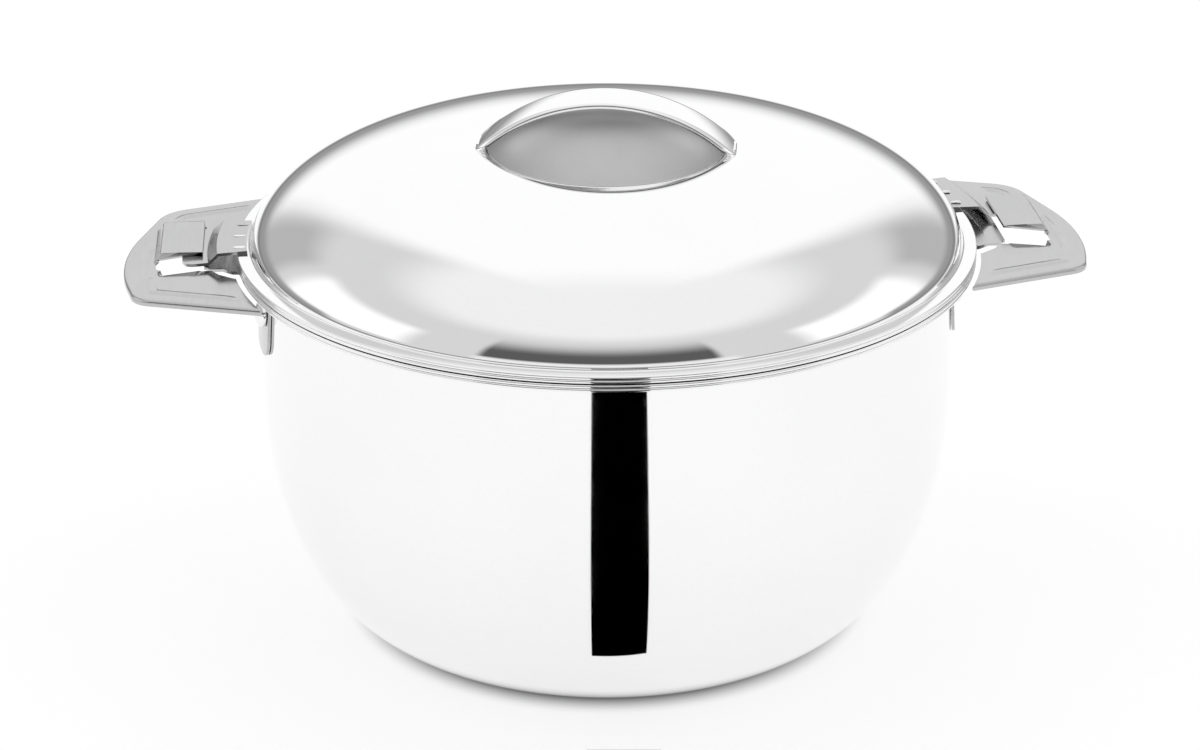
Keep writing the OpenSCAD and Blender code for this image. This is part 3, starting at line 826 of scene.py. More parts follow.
@dataclass
class PotBody:
    """Outer shell and inner bowl of the pot."""

    sizes: PotSizes
    spin: TurnedSheet
    rack: FinishRack
    panel_r: float = 60.0
    panel_rise: float = 2.0
    neck_bend: float = 0.9
    neck_lift: float = 0.5
    lip_r: float = 1.3

    def shell_profile(self) -> list[Flat]:
        """Closed profile of the outer shell."""
        s = self.sizes
        top, b = s.pot_h - s.hem_pitch, self.neck_bend
        wall = [(s.body_r(z), z) for z in low_steps(0, s.belly_z, 70)]
        neck = [(s.body_r(z), z) for z in steps(s.belly_z, s.rim_under - b, 30)[1:]]
        bend = [(s.neck_r + b - b * cosd(a), s.rim_under - b + self.neck_lift * sind(a))
                for a in steps(10, 90, 8)]
        turn = low_steps(s.sheet, s.belly_z, 40)
        back = [(s.base_r + (s.base_turn - s.sheet) * math.sqrt(max(0.0, 1 - (
            (s.belly_z - z) / (s.belly_z - s.sheet)) ** 2)), z) for z in reversed(turn)]
        p, up = self.panel_r, self.panel_rise
        return (wall + neck + bend + list(reversed(s.rolled(top)))
                + [(s.neck_r - s.sheet, top)]
                + [(s.body_r(z) - s.sheet, z) for z in steps(s.rim_under, s.belly_z, 12)]
                + back[1:]
                + [(p + 1.2, s.sheet), (p, up + s.sheet), (0, up + s.sheet), (0, up),
                   (p - 0.4, up), (p + 0.4, up - 0.2), (p + 1.4, 0.2), (p + 2.0, 0)])

    def bowl_profile(self) -> list[Flat]:
        """Closed profile of the inner bowl."""
        s = self.sizes
        turn_z = s.bowl_turn_z
        outer = [(s.bowl_in(z, s.sheet), z)
                 for z in low_steps(s.bowl_floor_z - s.sheet, turn_z, 30)]
        inner = [(s.bowl_in(z, 0), z) for z in reversed(low_steps(s.bowl_floor_z, turn_z, 60))]
        lip = [(s.bowl_r + self.lip_r * (1 - sind(a)), s.pot_h - self.lip_r * (1 - cosd(a)))
               for a in steps(0, 90, 10)]
        return (outer + [(s.bowl_r + s.sheet, s.pot_h - s.sheet)]
                + list(reversed(s.rolled(s.pot_h))) + lip + inner
                + [(0, s.bowl_floor_z), (0, s.bowl_floor_z - s.sheet)])

    def build(self) -> None:
        """Makes both sheets and puts them on the pot."""
        steel = self.rack.get(MIRROR)
        settle(self.spin.make("outer-shell", self.shell_profile(), steel), Body.POT,
               ["outer_shell"])
        settle(self.spin.make("inner-bowl", self.bowl_profile(), steel), Body.POT, ["inner_bowl"])


# ---------------------------------------------------------------- handles


@dataclass
class Handle:
    """One pressed handle: plate, bead, clip, lead-in, strip and flange."""

    sizes: PotSizes
    side: Side
    rack: FinishRack
    reach: float = 162.4
    half: float = 50.0
    taper: float = 18.0
    back: float = 4.2
    corner: float = 9.0
    rear_corner: float = 14.0
    front_bow: float = 4.6
    rear_bow: float = 11.8
    lip: float = 2.1
    rim_clear: float = 1.6
    bead_inset: float = 5.5
    bead_w: float = 4.0
    bead_clear: float = 1.0
    bead_h: float = 0.5
    clip_x: float = 136.2
    clip_w: float = 13.5
    clip_len: float = 30.0
    clip_front: float = 4.2
    slope: float = 3.0
    mouth: float = 6.5
    lead_in: float = 6.0
    lead_drop: float = 2.4
    strip_front: float = 12.3
    strip_rear: float = 28.0
    strip_run: float = 4.0
    strip_gap: float = 0.35
    flange_half: float = 27.0
    flange_drop: float = 29.0
    edge_r: float = 1.1
    tongue_gap: float = 0.9
    clip_gap: float = 0.7
    grid: float = 1.7
    fine_grid: float = 0.55

    @property
    def tongue_z(self) -> float:
        """Top of the ear's tongue."""
        return self.sizes.brim_z + self.sizes.plate - self.sizes.ear_drop

    @property
    def plate_z(self) -> float:
        """Top of the plate, below the tongue."""
        return self.tongue_z - self.sizes.plate - self.tongue_gap

    @property
    def clip_top(self) -> float:
        """Top of the clip, above the tongue."""
        return self.tongue_z + self.clip_gap + self.sizes.plate

    @property
    def plate_in(self) -> float:
        """Radius at which the plate ends beside the rim."""
        return self.sizes.rim_r + self.rim_clear

    @property
    def clip_rear(self) -> float:
        """Rear edge of the clip."""
        return self.clip_len - self.clip_front

    @property
    def clip_far(self) -> float:
        """Outer edge of the clip's flat top."""
        return self.clip_x + self.clip_w

    @property
    def mouth_y(self) -> float:
        """Front edge of the opening before the clip."""
        return -self.clip_front - self.mouth

    @property
    def strip_z(self) -> float:
        """Height of the strip's top under the rim."""
        return self.sizes.rim_under - self.strip_gap

    def outline(self, inset: float) -> list[Flat]:
        """Corners of the plate's outline, drawn in, in order from the front."""
        lean = math.tan(math.radians(self.taper))

        def half_at(x: float) -> float:
            """Half of the drawn-in width at a distance from the axis."""
            return self.half - inset / cosd(self.taper) - (x - self.plate_in) * lean

        far, start = self.reach - inset, self.plate_in - 20
        front, rear = half_at(far - self.front_bow), half_at(far - self.rear_bow)
        bends = (math.atan2(self.front_bow, front * 0.5), math.atan2(self.rear_bow, rear * 0.9))
        end_r = 0.95 * (front * 0.5 + rear * 0.1) / sum(math.tan(b / 2) for b in bends)
        loop = rounded([
            (start, -half_at(start), 1),
            (far - self.front_bow, -front, max(1.0, self.corner - inset)),
            (far, -front * 0.5, end_r), (far, rear * 0.1, end_r),
            (far - self.rear_bow, rear, max(1.0, self.rear_corner - inset)),
            (start, half_at(start), 1)])
        return [(x, y + self.back) for x, y in loop]

    def row(self, inset: float, along: int = 34) -> list[Flat]:
        """Points along the outline from the rim round to the rim again.

        Args:
            inset: How far the row is drawn in from the edge.
            along: Number of steps along each straight side.

        Returns:
            The same number of points for any inset.
        """
        loop = self.outline(inset)
        count = CORNER_STEPS + 1
        front, first = loop[count - 1], loop[count]
        last, rear = loop[5 * count - 1], loop[5 * count]

        def crossing(a: Flat, b: Flat) -> Flat:
            """Point between a and b on the plate's inner circle."""
            d = Vector(b) - Vector(a)
            p = Vector(a)
            half_b, c = p.dot(d), p.dot(p) - self.plate_in ** 2
            t = (-half_b + math.sqrt(half_b ** 2 - d.dot(d) * c)) / d.dot(d)
            return tuple(p + d * t)

        start, end = crossing(front, first), crossing(rear, last)
        out = [tuple(Vector(start).lerp(Vector(first), i / along)) for i in range(along)]
        middle = loop[count:5 * count]
        for i, point in enumerate(middle):
            if i % count == 0 and i:
                before = Vector(middle[i - 1])
                out += [tuple(before.lerp(Vector(point), k / 8)) for k in range(1, 8)]
            out.append(point)
        out += [tuple(Vector(last).lerp(Vector(end), i / along)) for i in range(1, along + 1)]
        return out

    def openings(self) -> list[list[Flat]]:
        """Loops cut out of the plate: the notch, the mouth and the slits."""
        front, cx = -self.strip_front, self.clip_x
        inner = self.plate_in
        slit = 0.45
        rear = self.clip_rear
        closed = self.side is Side.LEFT
        notch = [(inner - 6, front - 9), (inner - 1, front - 8), (inner + 4, front - 4),
                 (cx - 3, front), (cx + 1, front), (cx + 1, self.mouth_y + 2),
                 (cx - 1, self.mouth_y + 2), (cx - 2.5, front + 1), (inner - 6, front + 1)]
        far = self.clip_far + self.slope - self.sizes.plate
        mouth = rounded([(cx - slit, self.mouth_y, 0.6), (far, self.mouth_y, 2.2),
                         (far, -self.clip_front, 0.2), (cx - slit, -self.clip_front, 0.2)], 6)
        end = rear + (self.slope if closed else 0.0) + (0.3 if closed else slit)
        side_slit = [(cx - slit, -self.clip_front - 1), (cx, -self.clip_front - 1),
                     (cx, end), (cx - slit * 0.5, end + 0.25), (cx - slit, end)]
        loops = [notch, mouth, side_slit]
        if not closed:
            loops.append([(cx - slit, rear), (self.clip_far + self.slope, rear),
                          (self.clip_far + self.slope + 0.25, rear + slit / 2),
                          (self.clip_far + self.slope, rear + slit), (cx - slit, rear + slit)])
        return loops

    def strip_loop(self, widened: float, r_in: float, r_out: float) -> list[Flat]:
        """Sector in which the plate runs in under the rim, widened by some degrees."""
        at = self.plate_in + self.strip_run
        low = -math.degrees(math.asin(self.strip_front / at)) - widened
        high = math.degrees(math.asin(self.strip_rear / at)) + widened
        angles = steps(low, high, 36)
        return ([(r_in * cosd(a), r_in * sind(a)) for a in angles]
                + [(r_out * cosd(a), r_out * sind(a)) for a in reversed(angles)])

    def height(self, x: float, y: float, inset: float, in_strip: bool) -> float:
        """Height of the plate's top at a point.

        Args:
            x: Distance from the pot's axis across the handle.
            y: Distance along the pot's side.
            inset: Distance from the plate's edge.
            in_strip: Whether the point is on the strip that runs in under the rim.

        Returns:
            The height in millimetres.
        """
        r = math.hypot(x, y)
        z = self.plate_z
        if in_strip:
            start, end = self.sizes.rim_r + 0.6, self.plate_in + self.strip_run
            z -= (self.plate_z - self.strip_z) * (1 - smooth((r - start) / (end - start)))
        middle = self.bead_inset + self.bead_w / 2
        away = abs(inset - middle) / (self.bead_w / 2 + 0.6)
        if away < 1:
            beside = max(x - self.clip_far - self.slope, y - self.clip_rear - self.slope,
                         self.mouth_y - self.lead_in - y, self.clip_x - x)
            z += self.bead_h * (0.5 + 0.5 * math.cos(math.pi * away)) * smooth(
                (r - self.plate_in - 2) / 5) * smooth(beside - self.bead_clear / 2)
        if x > self.clip_x - 0.01 and y > -self.clip_front - 0.01:
            fall = smooth((self.clip_far + self.slope - x) / self.slope)
            if self.side is Side.LEFT:
                fall *= smooth((self.clip_rear + self.slope - y) / self.slope)
            elif y > self.clip_rear + 0.2:
                fall = 0.0
            z += (self.clip_top - self.plate_z) * fall
        if y < self.mouth_y + 0.01:
            across = min(x - self.clip_x - 0.4, self.clip_far + 1.2 - x) / 2.0
            z -= self.lead_drop * smooth(across) * smooth(
                (y - self.mouth_y + self.lead_in) / self.lead_in)
        return z

    def fill_points(self, s_in: float, s_out: float) -> list[Flat]:
        """Points strewn over the plate, closer together at the bead, clip and strip.

        Args:
            s_in: Inner radius of the strip.
            s_out: Outer radius of the strip.

        Returns:
            The points, some of which lie off the plate.
        """
        fill: list[Flat] = []
        low, high = self.bead_inset - 0.8, self.bead_inset + self.bead_w + 0.8
        for inset in steps(low, high, 13):
            fill += self.row(inset, 44)
        fill += [(x, y) for x in np.arange(self.plate_in - 4, self.reach, self.grid)
                 for y in np.arange(-52, 64, self.grid)]
        clip_xs = np.arange(self.clip_x + 0.05, self.clip_far + self.slope + 0.6, self.fine_grid)
        clip_ys = np.arange(self.mouth_y - self.lead_in - 0.3, self.clip_rear + 4.2,
                            self.fine_grid)
        fill += [(x, y) for x in clip_xs for y in clip_ys]
        fill += [(r * cosd(a), r * sind(a)) for r in steps(s_in + 0.3, s_out + 2.4, 12)
                 for a in np.arange(-7, 14, 0.6)]
        return fill

    @staticmethod
    def edge_distance(flat: np.ndarray, border: Sequence[Flat]) -> np.ndarray:
        """Distance of each point from the plate's outline, which ends at the rim."""
        line = np.array(border)
        least = np.full(len(flat), np.inf)
        for a, b in zip(line, line[1:]):
            ab = b - a
            t = np.clip(((flat - a) @ ab) / (ab @ ab), 0, 1)
            least = np.minimum(least, np.hypot(*(flat - a - t[:, None] * ab).T))
        return least

    def plate_points(self) -> tuple[list[Solid], list[tuple[int, ...]]]:
        """Outer face of the plate with its rounded, turned-down edge.

        Returns:
            Points and faces.
        """
        border = self.row(self.edge_r)
        edge = np.array(border)
        a0 = math.atan2(border[-1][1], border[-1][0])
        a1 = math.atan2(border[0][1], border[0][0])
        arc = [(self.plate_in * math.cos(a0 + (a1 - a0) * i / 90),
                self.plate_in * math.sin(a0 + (a1 - a0) * i / 90)) for i in range(1, 90)]
        rim_loop = border + arc
        s_in, s_out = self.sizes.rim_r - 1.5, self.plate_in + self.strip_run - 0.7
        strip = self.strip_loop(0.0, s_in, s_out)
        slot = self.strip_loop(0.45, s_in - 3, s_out)
        cuts = self.openings()
        points: list[Flat] = []
        edges: list[tuple[int, int]] = []
        for loop in [rim_loop, strip, slot] + cuts:
            first = len(points)
            points += loop
            edges += [(first + i, first + (i + 1) % len(loop)) for i in range(len(loop))]
        extra = np.array(self.fill_points(s_in, s_out))
        gap = np.sqrt(((extra[:, None, :] - edge[None, :, :]) ** 2).sum(2)).min(1)
        near = np.array(points)
        clear = np.concatenate([
            ((part[:, None, :] - near[None, :, :]) ** 2).sum(2).min(1)
            for part in np.array_split(extra, 12)])
        radius = np.hypot(extra[:, 0], extra[:, 1])
        strip_band = inside(extra, strip)
        keep = inside(extra, border) & (gap > 0.6) & (clear > 0.06)
        keep &= (radius > self.plate_in + 0.3) | strip_band
        points += [tuple(p) for p in extra[keep]]
        verts, _, tris, origin, _, _ = delaunay_2d_cdt(
            [Vector(p) for p in points], edges, [], 0, 1e-5, True)
        flat = np.array([tuple(v) for v in verts])
        tri = np.array(tris)
        centre = flat[tri].mean(1)
        on_strip = inside(centre, strip)
        good = (inside(centre, rim_loop) & ~inside(centre, slot)) | on_strip
        for cut in cuts:
            good &= ~inside(centre, cut)
        tri, on_strip = tri[good], on_strip[good]
        strip_verts = set(tri[on_strip].ravel().tolist())
        count = len(border)
        inset_at = self.edge_distance(flat, border)
        solid = [(x, y, self.height(x, y, inset_at[i] + self.edge_r, i in strip_verts
                                    or (math.hypot(x, y) < s_out + 2.5 and
                                        -self.strip_front < y < self.strip_rear)))
                 for i, (x, y) in enumerate(flat.tolist())]
        faces = [tuple(t) for t in tri.tolist()]
        home = {}
        for new, olds in enumerate(origin):
            for old in olds:
                home[old] = new
        last = [home[i] for i in range(count)]
        drops = [(self.edge_r * (1 - sind(a)), self.edge_r * (1 - cosd(a)))
                 for a in steps(15, 90, 5)] + [(0.0, 1.5), (0.0, self.lip)]
        for inset, drop in drops:
            ring = self.row(inset)
            first = len(solid)
            solid += [(x, y, self.plate_z - drop) for x, y in ring]
            here = list(range(first, first + count))
            faces += [(last[i], last[i + 1], here[i + 1], here[i]) for i in range(count - 1)]
            last = here
        used = sorted({i for f in faces for i in f})
        index = {old: new for new, old in enumerate(used)}
        return [solid[i] for i in used], [tuple(index[i] for i in f) for f in faces]

    def flange_points(self) -> tuple[list[Solid], list[tuple[int, ...]]]:
        """Outer face of the strip under the rim and the flange on the pot.

        Returns:
            Points and faces.
        """
        s = self.sizes
        low = s.pot_h - self.flange_drop
        out = s.flange_gap + s.plate
        bend = 1.6
        top = self.strip_z
        path = [(s.rim_r - 0.6, top), (s.rim_r - 3, top)]
        corner_r = s.neck_r + out + bend
        path += [(corner_r - bend * sind(a), top - bend + bend * cosd(a))
                 for a in steps(0, 90, 8)]
        path += [(s.body_r(z) + out, z) for z in steps(top - bend - 0.6, low, 34)]
        points: list[Solid] = []
        columns = 41
        for r, z in path:
            half = self.flange_half
            if z < low + 7:
                half += -7 + math.sqrt(max(0.0, 49 - (7 - (z - low)) ** 2))
            wide = math.degrees(math.asin(half / s.neck_r))
            points += [(r * cosd(a), r * sind(a), z) for a in steps(-wide, wide, columns - 1)]
        return points, list(grid_faces(len(path), columns))

    def build(self) -> None:
        """Makes the handle and puts it on the pot."""
        # Pressed steel whose darker tone is painted shade.
        steel = self.rack.get(PRESSED_PAINTED_SHADE)
        points, faces = self.plate_points()
        plate = thicken("plate", [self.side.place(*p) for p in points], faces, self.sizes.plate,
                        steel, lambda n: n.z > 0)
        points, faces = self.flange_points()
        flange = thicken("flange", [self.side.place(*p) for p in points], faces, self.sizes.plate,
                         steel, lambda n: n.x * self.side.value > 0)
        settle(merge(f"handle-{self.side.word}", [plate, flange]), Body.POT,
               [f"handle_{self.side.word}"])


def merge(name: str, parts: Sequence[bpy.types.Object]) -> bpy.types.Object:
    """Joins meshes into one object.

    Args:
        name: Name of the joined object.
        parts: The objects, the first of which is kept.

    Returns:
        The joined object.
    """
    work = bmesh.new()
    for part in parts:
        work.from_mesh(part.data)
    mesh = bpy.data.meshes.new(name)
    work.to_mesh(mesh)
    work.free()
    mesh.materials.append(parts[0].data.materials[0])
    for part in parts:
        bpy.data.objects.remove(part)
    return linked(name, mesh)


# ---------------------------------------------------------------- rivets and welds


@dataclass
class Fasteners:
    """Rivets of the handles and weld beads of the ears."""

    sizes: PotSizes
    rack: FinishRack
    row: FastenerRow
    rivet_r: float = 2.4
    head_r: float = 4.5
    head_h: float = 3.4
    rivet_y: float = 21.5
    drop: float = 14.0
    backing: float = 1.2
    tail_h: float = 1.4
    nest: float = 0.15
    bead_r: float = 0.8
    bead_len: float = 4.0

    def rivet(self) -> bpy.types.Object:
        """Source mesh of one rivet, its head pointing along +Z."""
        s = self.sizes
        tail = s.sheet + 2 * self.nest + self.backing
        head = s.flange_gap + s.plate + 0.08
        profile = [(0.0, -tail - self.tail_h)]
        profile += [(self.head_r - 0.8 + 0.3 * sind(a), -tail - self.tail_h + 0.3 - 0.3 * cosd(a))
                    for a in steps(0, 90, 4)]
        profile += [(self.head_r - 0.5, -tail), (self.rivet_r, -tail), (self.rivet_r, head)]
        profile += [(self.head_r - 0.3 + 0.3 * sind(a), head + 0.3 - 0.3 * cosd(a))
                    for a in steps(0, 90, 5)]
        profile += [(self.head_r * cosd(a), head + 0.8 + (self.head_h - 0.8) * sind(a))
                    for a in steps(0, 90, 14)]
        return self.spun("rivet source", profile, 40)

    def bead(self) -> bpy.types.Object:
        """Source mesh of one weld bead, its length along +Z and its crown along -X."""
        points: list[Solid] = []
        rings, around = 15, 13
        for i in range(rings):
            t = i / (rings - 1)
            size = self.bead_r * math.sin(math.acos(2 * t - 1)) ** 0.45 if 0 < t < 1 else 0.04
            ripple = 1 + 0.06 * math.cos(i * 2.1)
            points += [(-size * ripple * sind(a), -size * cosd(a), t * self.bead_len)
                       for a in steps(0, 180, around - 1)]
        faces: list[tuple[int, ...]] = list(grid_faces(rings, around))
        faces += [(r * around, (r + 1) * around, (r + 2) * around - 1, (r + 1) * around - 1)
                  for r in range(rings - 1)]
        faces += [tuple(range(around)), tuple((rings - 1) * around + i for i in range(around))]
        return add_mesh("bead source", points, faces, self.rack.get(BRIGHT))

    def spun(self, name: str, profile: Sequence[Flat], count: int) -> bpy.types.Object:
        """Small turned mesh about its own Z axis.

        Args:
            name: Name of the object.
            profile: Points of radius and height from one pole to the other.
            count: Number of steps round it.

        Returns:
            The object.
        """
        points = [(r * cosd(a), r * sind(a), z) for r, z in profile
                  for a in steps(0, 360, count)[:-1]]
        return add_mesh(name, points, ring_faces(len(profile), count), self.rack.get(BRIGHT))

    def build(self) -> None:
        """Makes the rivet rows and the weld rows."""
        s = self.sizes
        steel = self.rack.get(BRIGHT)
        rivet, bead = self.rivet(), self.bead()
        z = s.pot_h - self.drop
        angle = math.degrees(math.asin(self.rivet_y / s.neck_r))
        foot = s.foot_r + 1.4
        lean = math.degrees(math.atan(
            2 * s.belly_out * (z - s.belly_z) / (s.rim_under - s.belly_z) ** 2))
        for side in Side:
            spokes = [side.place(cosd(a), sind(a), 0) for a in (-angle, angle)]
            aims = [(x * cosd(lean), y * cosd(lean), sind(lean)) for x, y, _ in spokes]
            places = [(x * s.body_r(z), y * s.body_r(z), z) for x, y, _ in spokes]
            settle(self.row.make(f"rivets-{side.word}", rivet, places, aims, steel), Body.POT,
                   [f"rivets_{side.word}"])
            ways = [turned(side.place(cosd(a), sind(a), 0), s.lock_turn)
                    for a in (s.ear_back + k * s.ear_span for k in (-0.36, 0, 0.36))]
            spots = [(x * foot, y * foot, s.brim_z + s.plate) for x, y, _ in ways]
            settle(self.row.make(f"ear-welds-{side.word}", bead, spots, ways, steel), Body.LID,
                   [f"ear_welds_{side.word}"])
        bpy.data.objects.remove(rivet)
        bpy.data.objects.remove(bead)


# ---------------------------------------------------------------- lid


@dataclass
class Lid:
    """Dome, dish, recess cup, grip strap and ears of the lid."""

    sizes: PotSizes
    spin: TurnedSheet
    rack: FinishRack
    plug_turn: float = 4.0
    cup_collar: float = 1.5
    strap_reach: float = 44.0
    strap_rise: float = 18.1
    strap_w: float = 18.5
    strap_hem: float = 2.2
    strap_turn: float = -14.0
    tab_w: float = 9.0
    tab_len: float = 5.0
    ear_reach: float = 18.0

    def dome_profile(self) -> list[Flat]:
        """Closed profile of the dome with its brim and rolled edge."""
        s = self.sizes
        rs = steps(s.hole_r + 0.3, s.foot_r * 0.7, 44)
        rs += [s.foot_r * (0.7 + 0.3 * sind(90 * i / 70)) for i in range(1, 71)]
        top = [(r, s.dome_top(r)) for r in rs]
        lip_z = s.dome_top(s.hole_r)
        edge = [(s.hole_r, lip_z - 0.3), (s.hole_r + 0.08, lip_z - 0.1)]
        fillet = [(r, z) for r, z in top if z > s.brim_z + 0.5]
        foot = [(s.foot_r + 0.6 - 0.6 * cosd(a), s.brim_z + 0.6 - 0.6 * sind(a))
                for a in steps(0, 90, 6)]
        under = [(r, s.dome_top(r, s.sheet)) for r in rs if r < s.foot_r - s.sheet - 0.05]
        under += [(s.foot_r - s.sheet, s.brim_z), (s.foot_r - s.sheet, s.brim_z - s.sheet)]
        return edge + fillet + foot + s.rolled(s.brim_z) + list(reversed(under))

    def dish_profile(self) -> list[Flat]:
        """Closed profile of the dish."""
        s = self.sizes
        flat_r = s.plug_r - 10
        mid = (s.plug_r - self.plug_turn, s.plug_z + self.plug_turn)

        def low(r: float) -> float:
            """Underside of the dish's raised middle."""
            return s.plug_z + s.dish_rise * (1 - (r / flat_r) ** 2)

        outer = [(mid[0] + self.plug_turn * cosd(a), mid[1] - self.plug_turn * sind(a))
                 for a in steps(0, 90, 12)]
        turn = self.plug_turn - s.sheet
        inner = [(mid[0] + turn * cosd(a), mid[1] - turn * sind(a)) for a in steps(90, 0, 12)]
        rs = steps(flat_r, 0, 40)
        return ([(s.plug_r, s.dish_top - s.sheet)] + outer + [(r, low(r)) for r in rs]
                + [(r, low(r) + s.sheet) for r in reversed(rs)] + inner
                + [(s.plug_r - s.sheet, s.dish_top)] + s.rolled(s.dish_top))

    def cup_profile(self) -> list[Flat]:
        """Closed profile of the recess cup."""
        s = self.sizes
        wall = s.hole_r - 0.2
        top = s.dome_top(s.hole_r)

        def at(a: float, grown: float) -> Flat:
            """Point of the cup at an angle from its bottom."""
            return ((wall - s.sheet + grown) * sind(a),
                    top - self.cup_collar - (s.cup_depth - self.cup_collar + grown) * cosd(a))

        lip = [(wall, top - 0.3), (wall - 0.08, top - 0.08), (wall - 0.3, top),
               (wall - s.sheet + 0.08, top - 0.08), (wall - s.sheet, top - 0.3)]
        return ([at(a, s.sheet) for a in steps(0, 90, 36)] + lip
                + [at(a, 0) for a in steps(90, 0, 60)])

    def strap(self) -> bpy.types.Object:
        """Arched strap with turned-down edges and its two tabs."""
        s = self.sizes
        reach, rise = self.strap_reach, self.strap_rise
        radius = (reach * reach + rise * rise) / (2 * rise)
        foot = s.dome_top(reach)
        mid_z = foot + rise - radius
        half = math.degrees(math.asin(reach / radius)) - 0.35
        stations = [half * math.sin(math.radians(a)) for a in steps(-90, 90, 150)]
        section = self.strap_section()
        points: list[Solid] = []
        for angle in stations:
            to_end = reach + 0.6 - abs(radius * sind(angle))
            narrow = 0.0 if to_end >= 5 else 5 - math.sqrt(max(0.0, 25 - (5 - to_end) ** 2))
            for across, depth in section:
                y = math.copysign(max(0.6, abs(across) - narrow), across) if across else 0.0
                r = radius - depth
                points.append((r * sind(angle), y, mid_z + r * cosd(angle)))
        count = len(section)
        rows = len(stations)
        faces = ring_faces(rows, count)
        faces += [tuple(range(count)), tuple((rows - 1) * count + j for j in range(count))]
        turn = s.lock_turn + self.strap_turn
        arch = add_mesh("arch", [turned(p, turn) for p in points], faces, self.rack.get(MIRROR))
        tabs = []
        for sign in (-1, 1):
            x0, x1 = sorted((sign * (reach - 0.6), sign * (reach - 1.6)))
            low, high = foot - self.tab_len, foot + 1.2
            w = self.tab_w / 2
            taper = 0.6
            shape = [(-w + taper, low), (w - taper, low), (w, low + taper), (w, high), (-w, high),
                     (-w, low + taper)]
            cut = [(x0, y, z) for y, z in shape] + [(x1, y, z) for y, z in shape]
            sides = [(i, (i + 1) % 6, 6 + (i + 1) % 6, 6 + i) for i in range(6)]
            tabs.append(add_mesh("tab", [turned(p, turn) for p in cut],
                                 sides + [tuple(range(6)), tuple(range(6, 12))],
                                 self.rack.get(MIRROR)))
        return merge("grip-strap", [arch] + tabs)

    def strap_section(self) -> list[Flat]:
        """Closed section of the strap: across, and depth below its crown.

        Returns:
            Points, going round the channel.
        """
        w, t, deep = self.strap_w / 2, self.sizes.plate, self.strap_hem
        bend, crown = 1.3, 0.25

        def face(y: float) -> float:
            """Depth of the slightly crowned top."""
            return crown * (y / w) ** 2

        top = [(y, face(y)) for y in steps(-w + bend, w - bend, 16)]
        right = [(w - bend + bend * sind(a), crown + bend - bend * cosd(a))
                 for a in steps(10, 90, 8)]
        down = [(w, deep - 0.25), (w - 0.2, deep), (w - t + 0.2, deep), (w - t, deep - 0.2)]
        inner_bend = [(w - t, crown + t + 0.3), (w - t - 0.3, crown + t)]
        under = [(y, face(y) + t) for y in steps(w - bend - 0.4, -w + bend + 0.4, 12)]
        half = right + down + inner_bend
        left = [(-y, d) for y, d in reversed(half)]
        return top + half + under + left

    def ear(self, side: Side) -> bpy.types.Object:
        """One ear: over the brim, down a step and out in a flat tongue."""
        s = self.sizes
        top = s.brim_z + s.plate
        tongue = top - s.ear_drop
        start, end = s.foot_r + 1, s.rim_r + self.ear_reach
        b_out, b_in = s.rim_r + 6.5, s.rim_r + 9.5
        path = bend_path([(start, top), (b_out, top), (b_in, tongue), (end, tongue)], 1.3)
        columns = 33
        points: list[Solid] = []
        for r, z in path:
            half = s.ear_span / 2
            left = end - r
            if left < 4:
                half -= math.degrees((4 - math.sqrt(max(0.0, 16 - (4 - left) ** 2))) / r)
            points += [turned(side.place(r * cosd(a), r * sind(a), z), s.lock_turn)
                       for a in steps(s.ear_back - half, s.ear_back + half, columns - 1)]
        # The ear takes the pressed steel whose darker tone is painted shade.
        return thicken(f"ear-{side.word}", points, grid_faces(len(path), columns), s.plate,
                       self.rack.get(PRESSED_PAINTED_SHADE), lambda n: n.z > 0, 0.18)

    def build(self) -> None:
        """Makes the lid's pieces and puts them on it."""
        steel = self.rack.get(MIRROR)
        settle(self.spin.make("lid-dome", self.dome_profile(), steel), Body.LID, ["lid_dome"])
        settle(self.spin.make("lid-dish", self.dish_profile(), steel), Body.LID, ["lid_dish"])
        settle(self.spin.make("grip-cup", self.cup_profile(), self.rack.get(CUP), 240), Body.LID,
               ["grip_cup"])
        settle(self.strap(), Body.LID, ["grip_strap"])
        for side in Side:
            settle(self.ear(side), Body.LID, [f"ear_{side.word}"])


def bend_path(corners: Sequence[Flat], radius: float) -> list[Flat]:
    """Path of straight runs with rounded bends.

    Args:
        corners: Ends and corners of the path.
        radius: Radius of each bend.

    Returns:
        Points along the path.
    """
    out: list[Flat] = []
    runs = list(zip(corners, corners[1:]))
    arcs: list[list[Flat]] = []
    for (a, b), (_, c) in zip(runs, runs[1:]):
        p = Vector(b)
        u, v = (Vector(a) - p).normalized(), (Vector(c) - p).normalized()
        half = u.angle(v) / 2
        mid = p + (u + v).normalized() * (radius / math.sin(half))
        s, e = p + u * (radius / math.tan(half)) - mid, p + v * (radius / math.tan(half)) - mid
        arcs.append([tuple(mid + s.slerp(e, k / 8)) for k in range(9)])
    last = corners[0]
    for arc in arcs + [[corners[-1]]]:
        out += [tuple(Vector(last).lerp(Vector(arc[0]), k / 10)) for k in range(10)]
        out += arc[:-1] if len(arc) > 1 else arc
        last = arc[-1]
    return out


# ---------------------------------------------------------------- pieces kept from the frame


class HiddenParts:
    """Dresses the frame's own pieces that stay as they are."""

    FINISHES = {
        "pot_insulation": FOAM, "lid_insulation": FOAM, "pot_fill_plug": PLASTIC,
        "lid_fill_plug": PLASTIC, "backing_left": PLAIN, "backing_right": PLAIN,
        "seal_ring": RUBBER,
    }

    def __init__(self, nodes: dict[str, bpy.types.Object], rack: FinishRack) -> None:
        """Keeps the frame's nodes and the finishes."""
        self.nodes = nodes
        self.rack = rack

    def dress(self) -> None:
        """Gives each kept piece its finish."""
        for name, finish in self.FINISHES.items():
            material = self.rack.get(finish)
            mesh = self.nodes[name].data
            if len(mesh.materials):
                for i in range(len(mesh.materials)):
                    mesh.materials[i] = material
            else:
                mesh.materials.append(material)
            LOG.info("%s: %s", name, finish.name)


# ---------------------------------------------------------------- studio


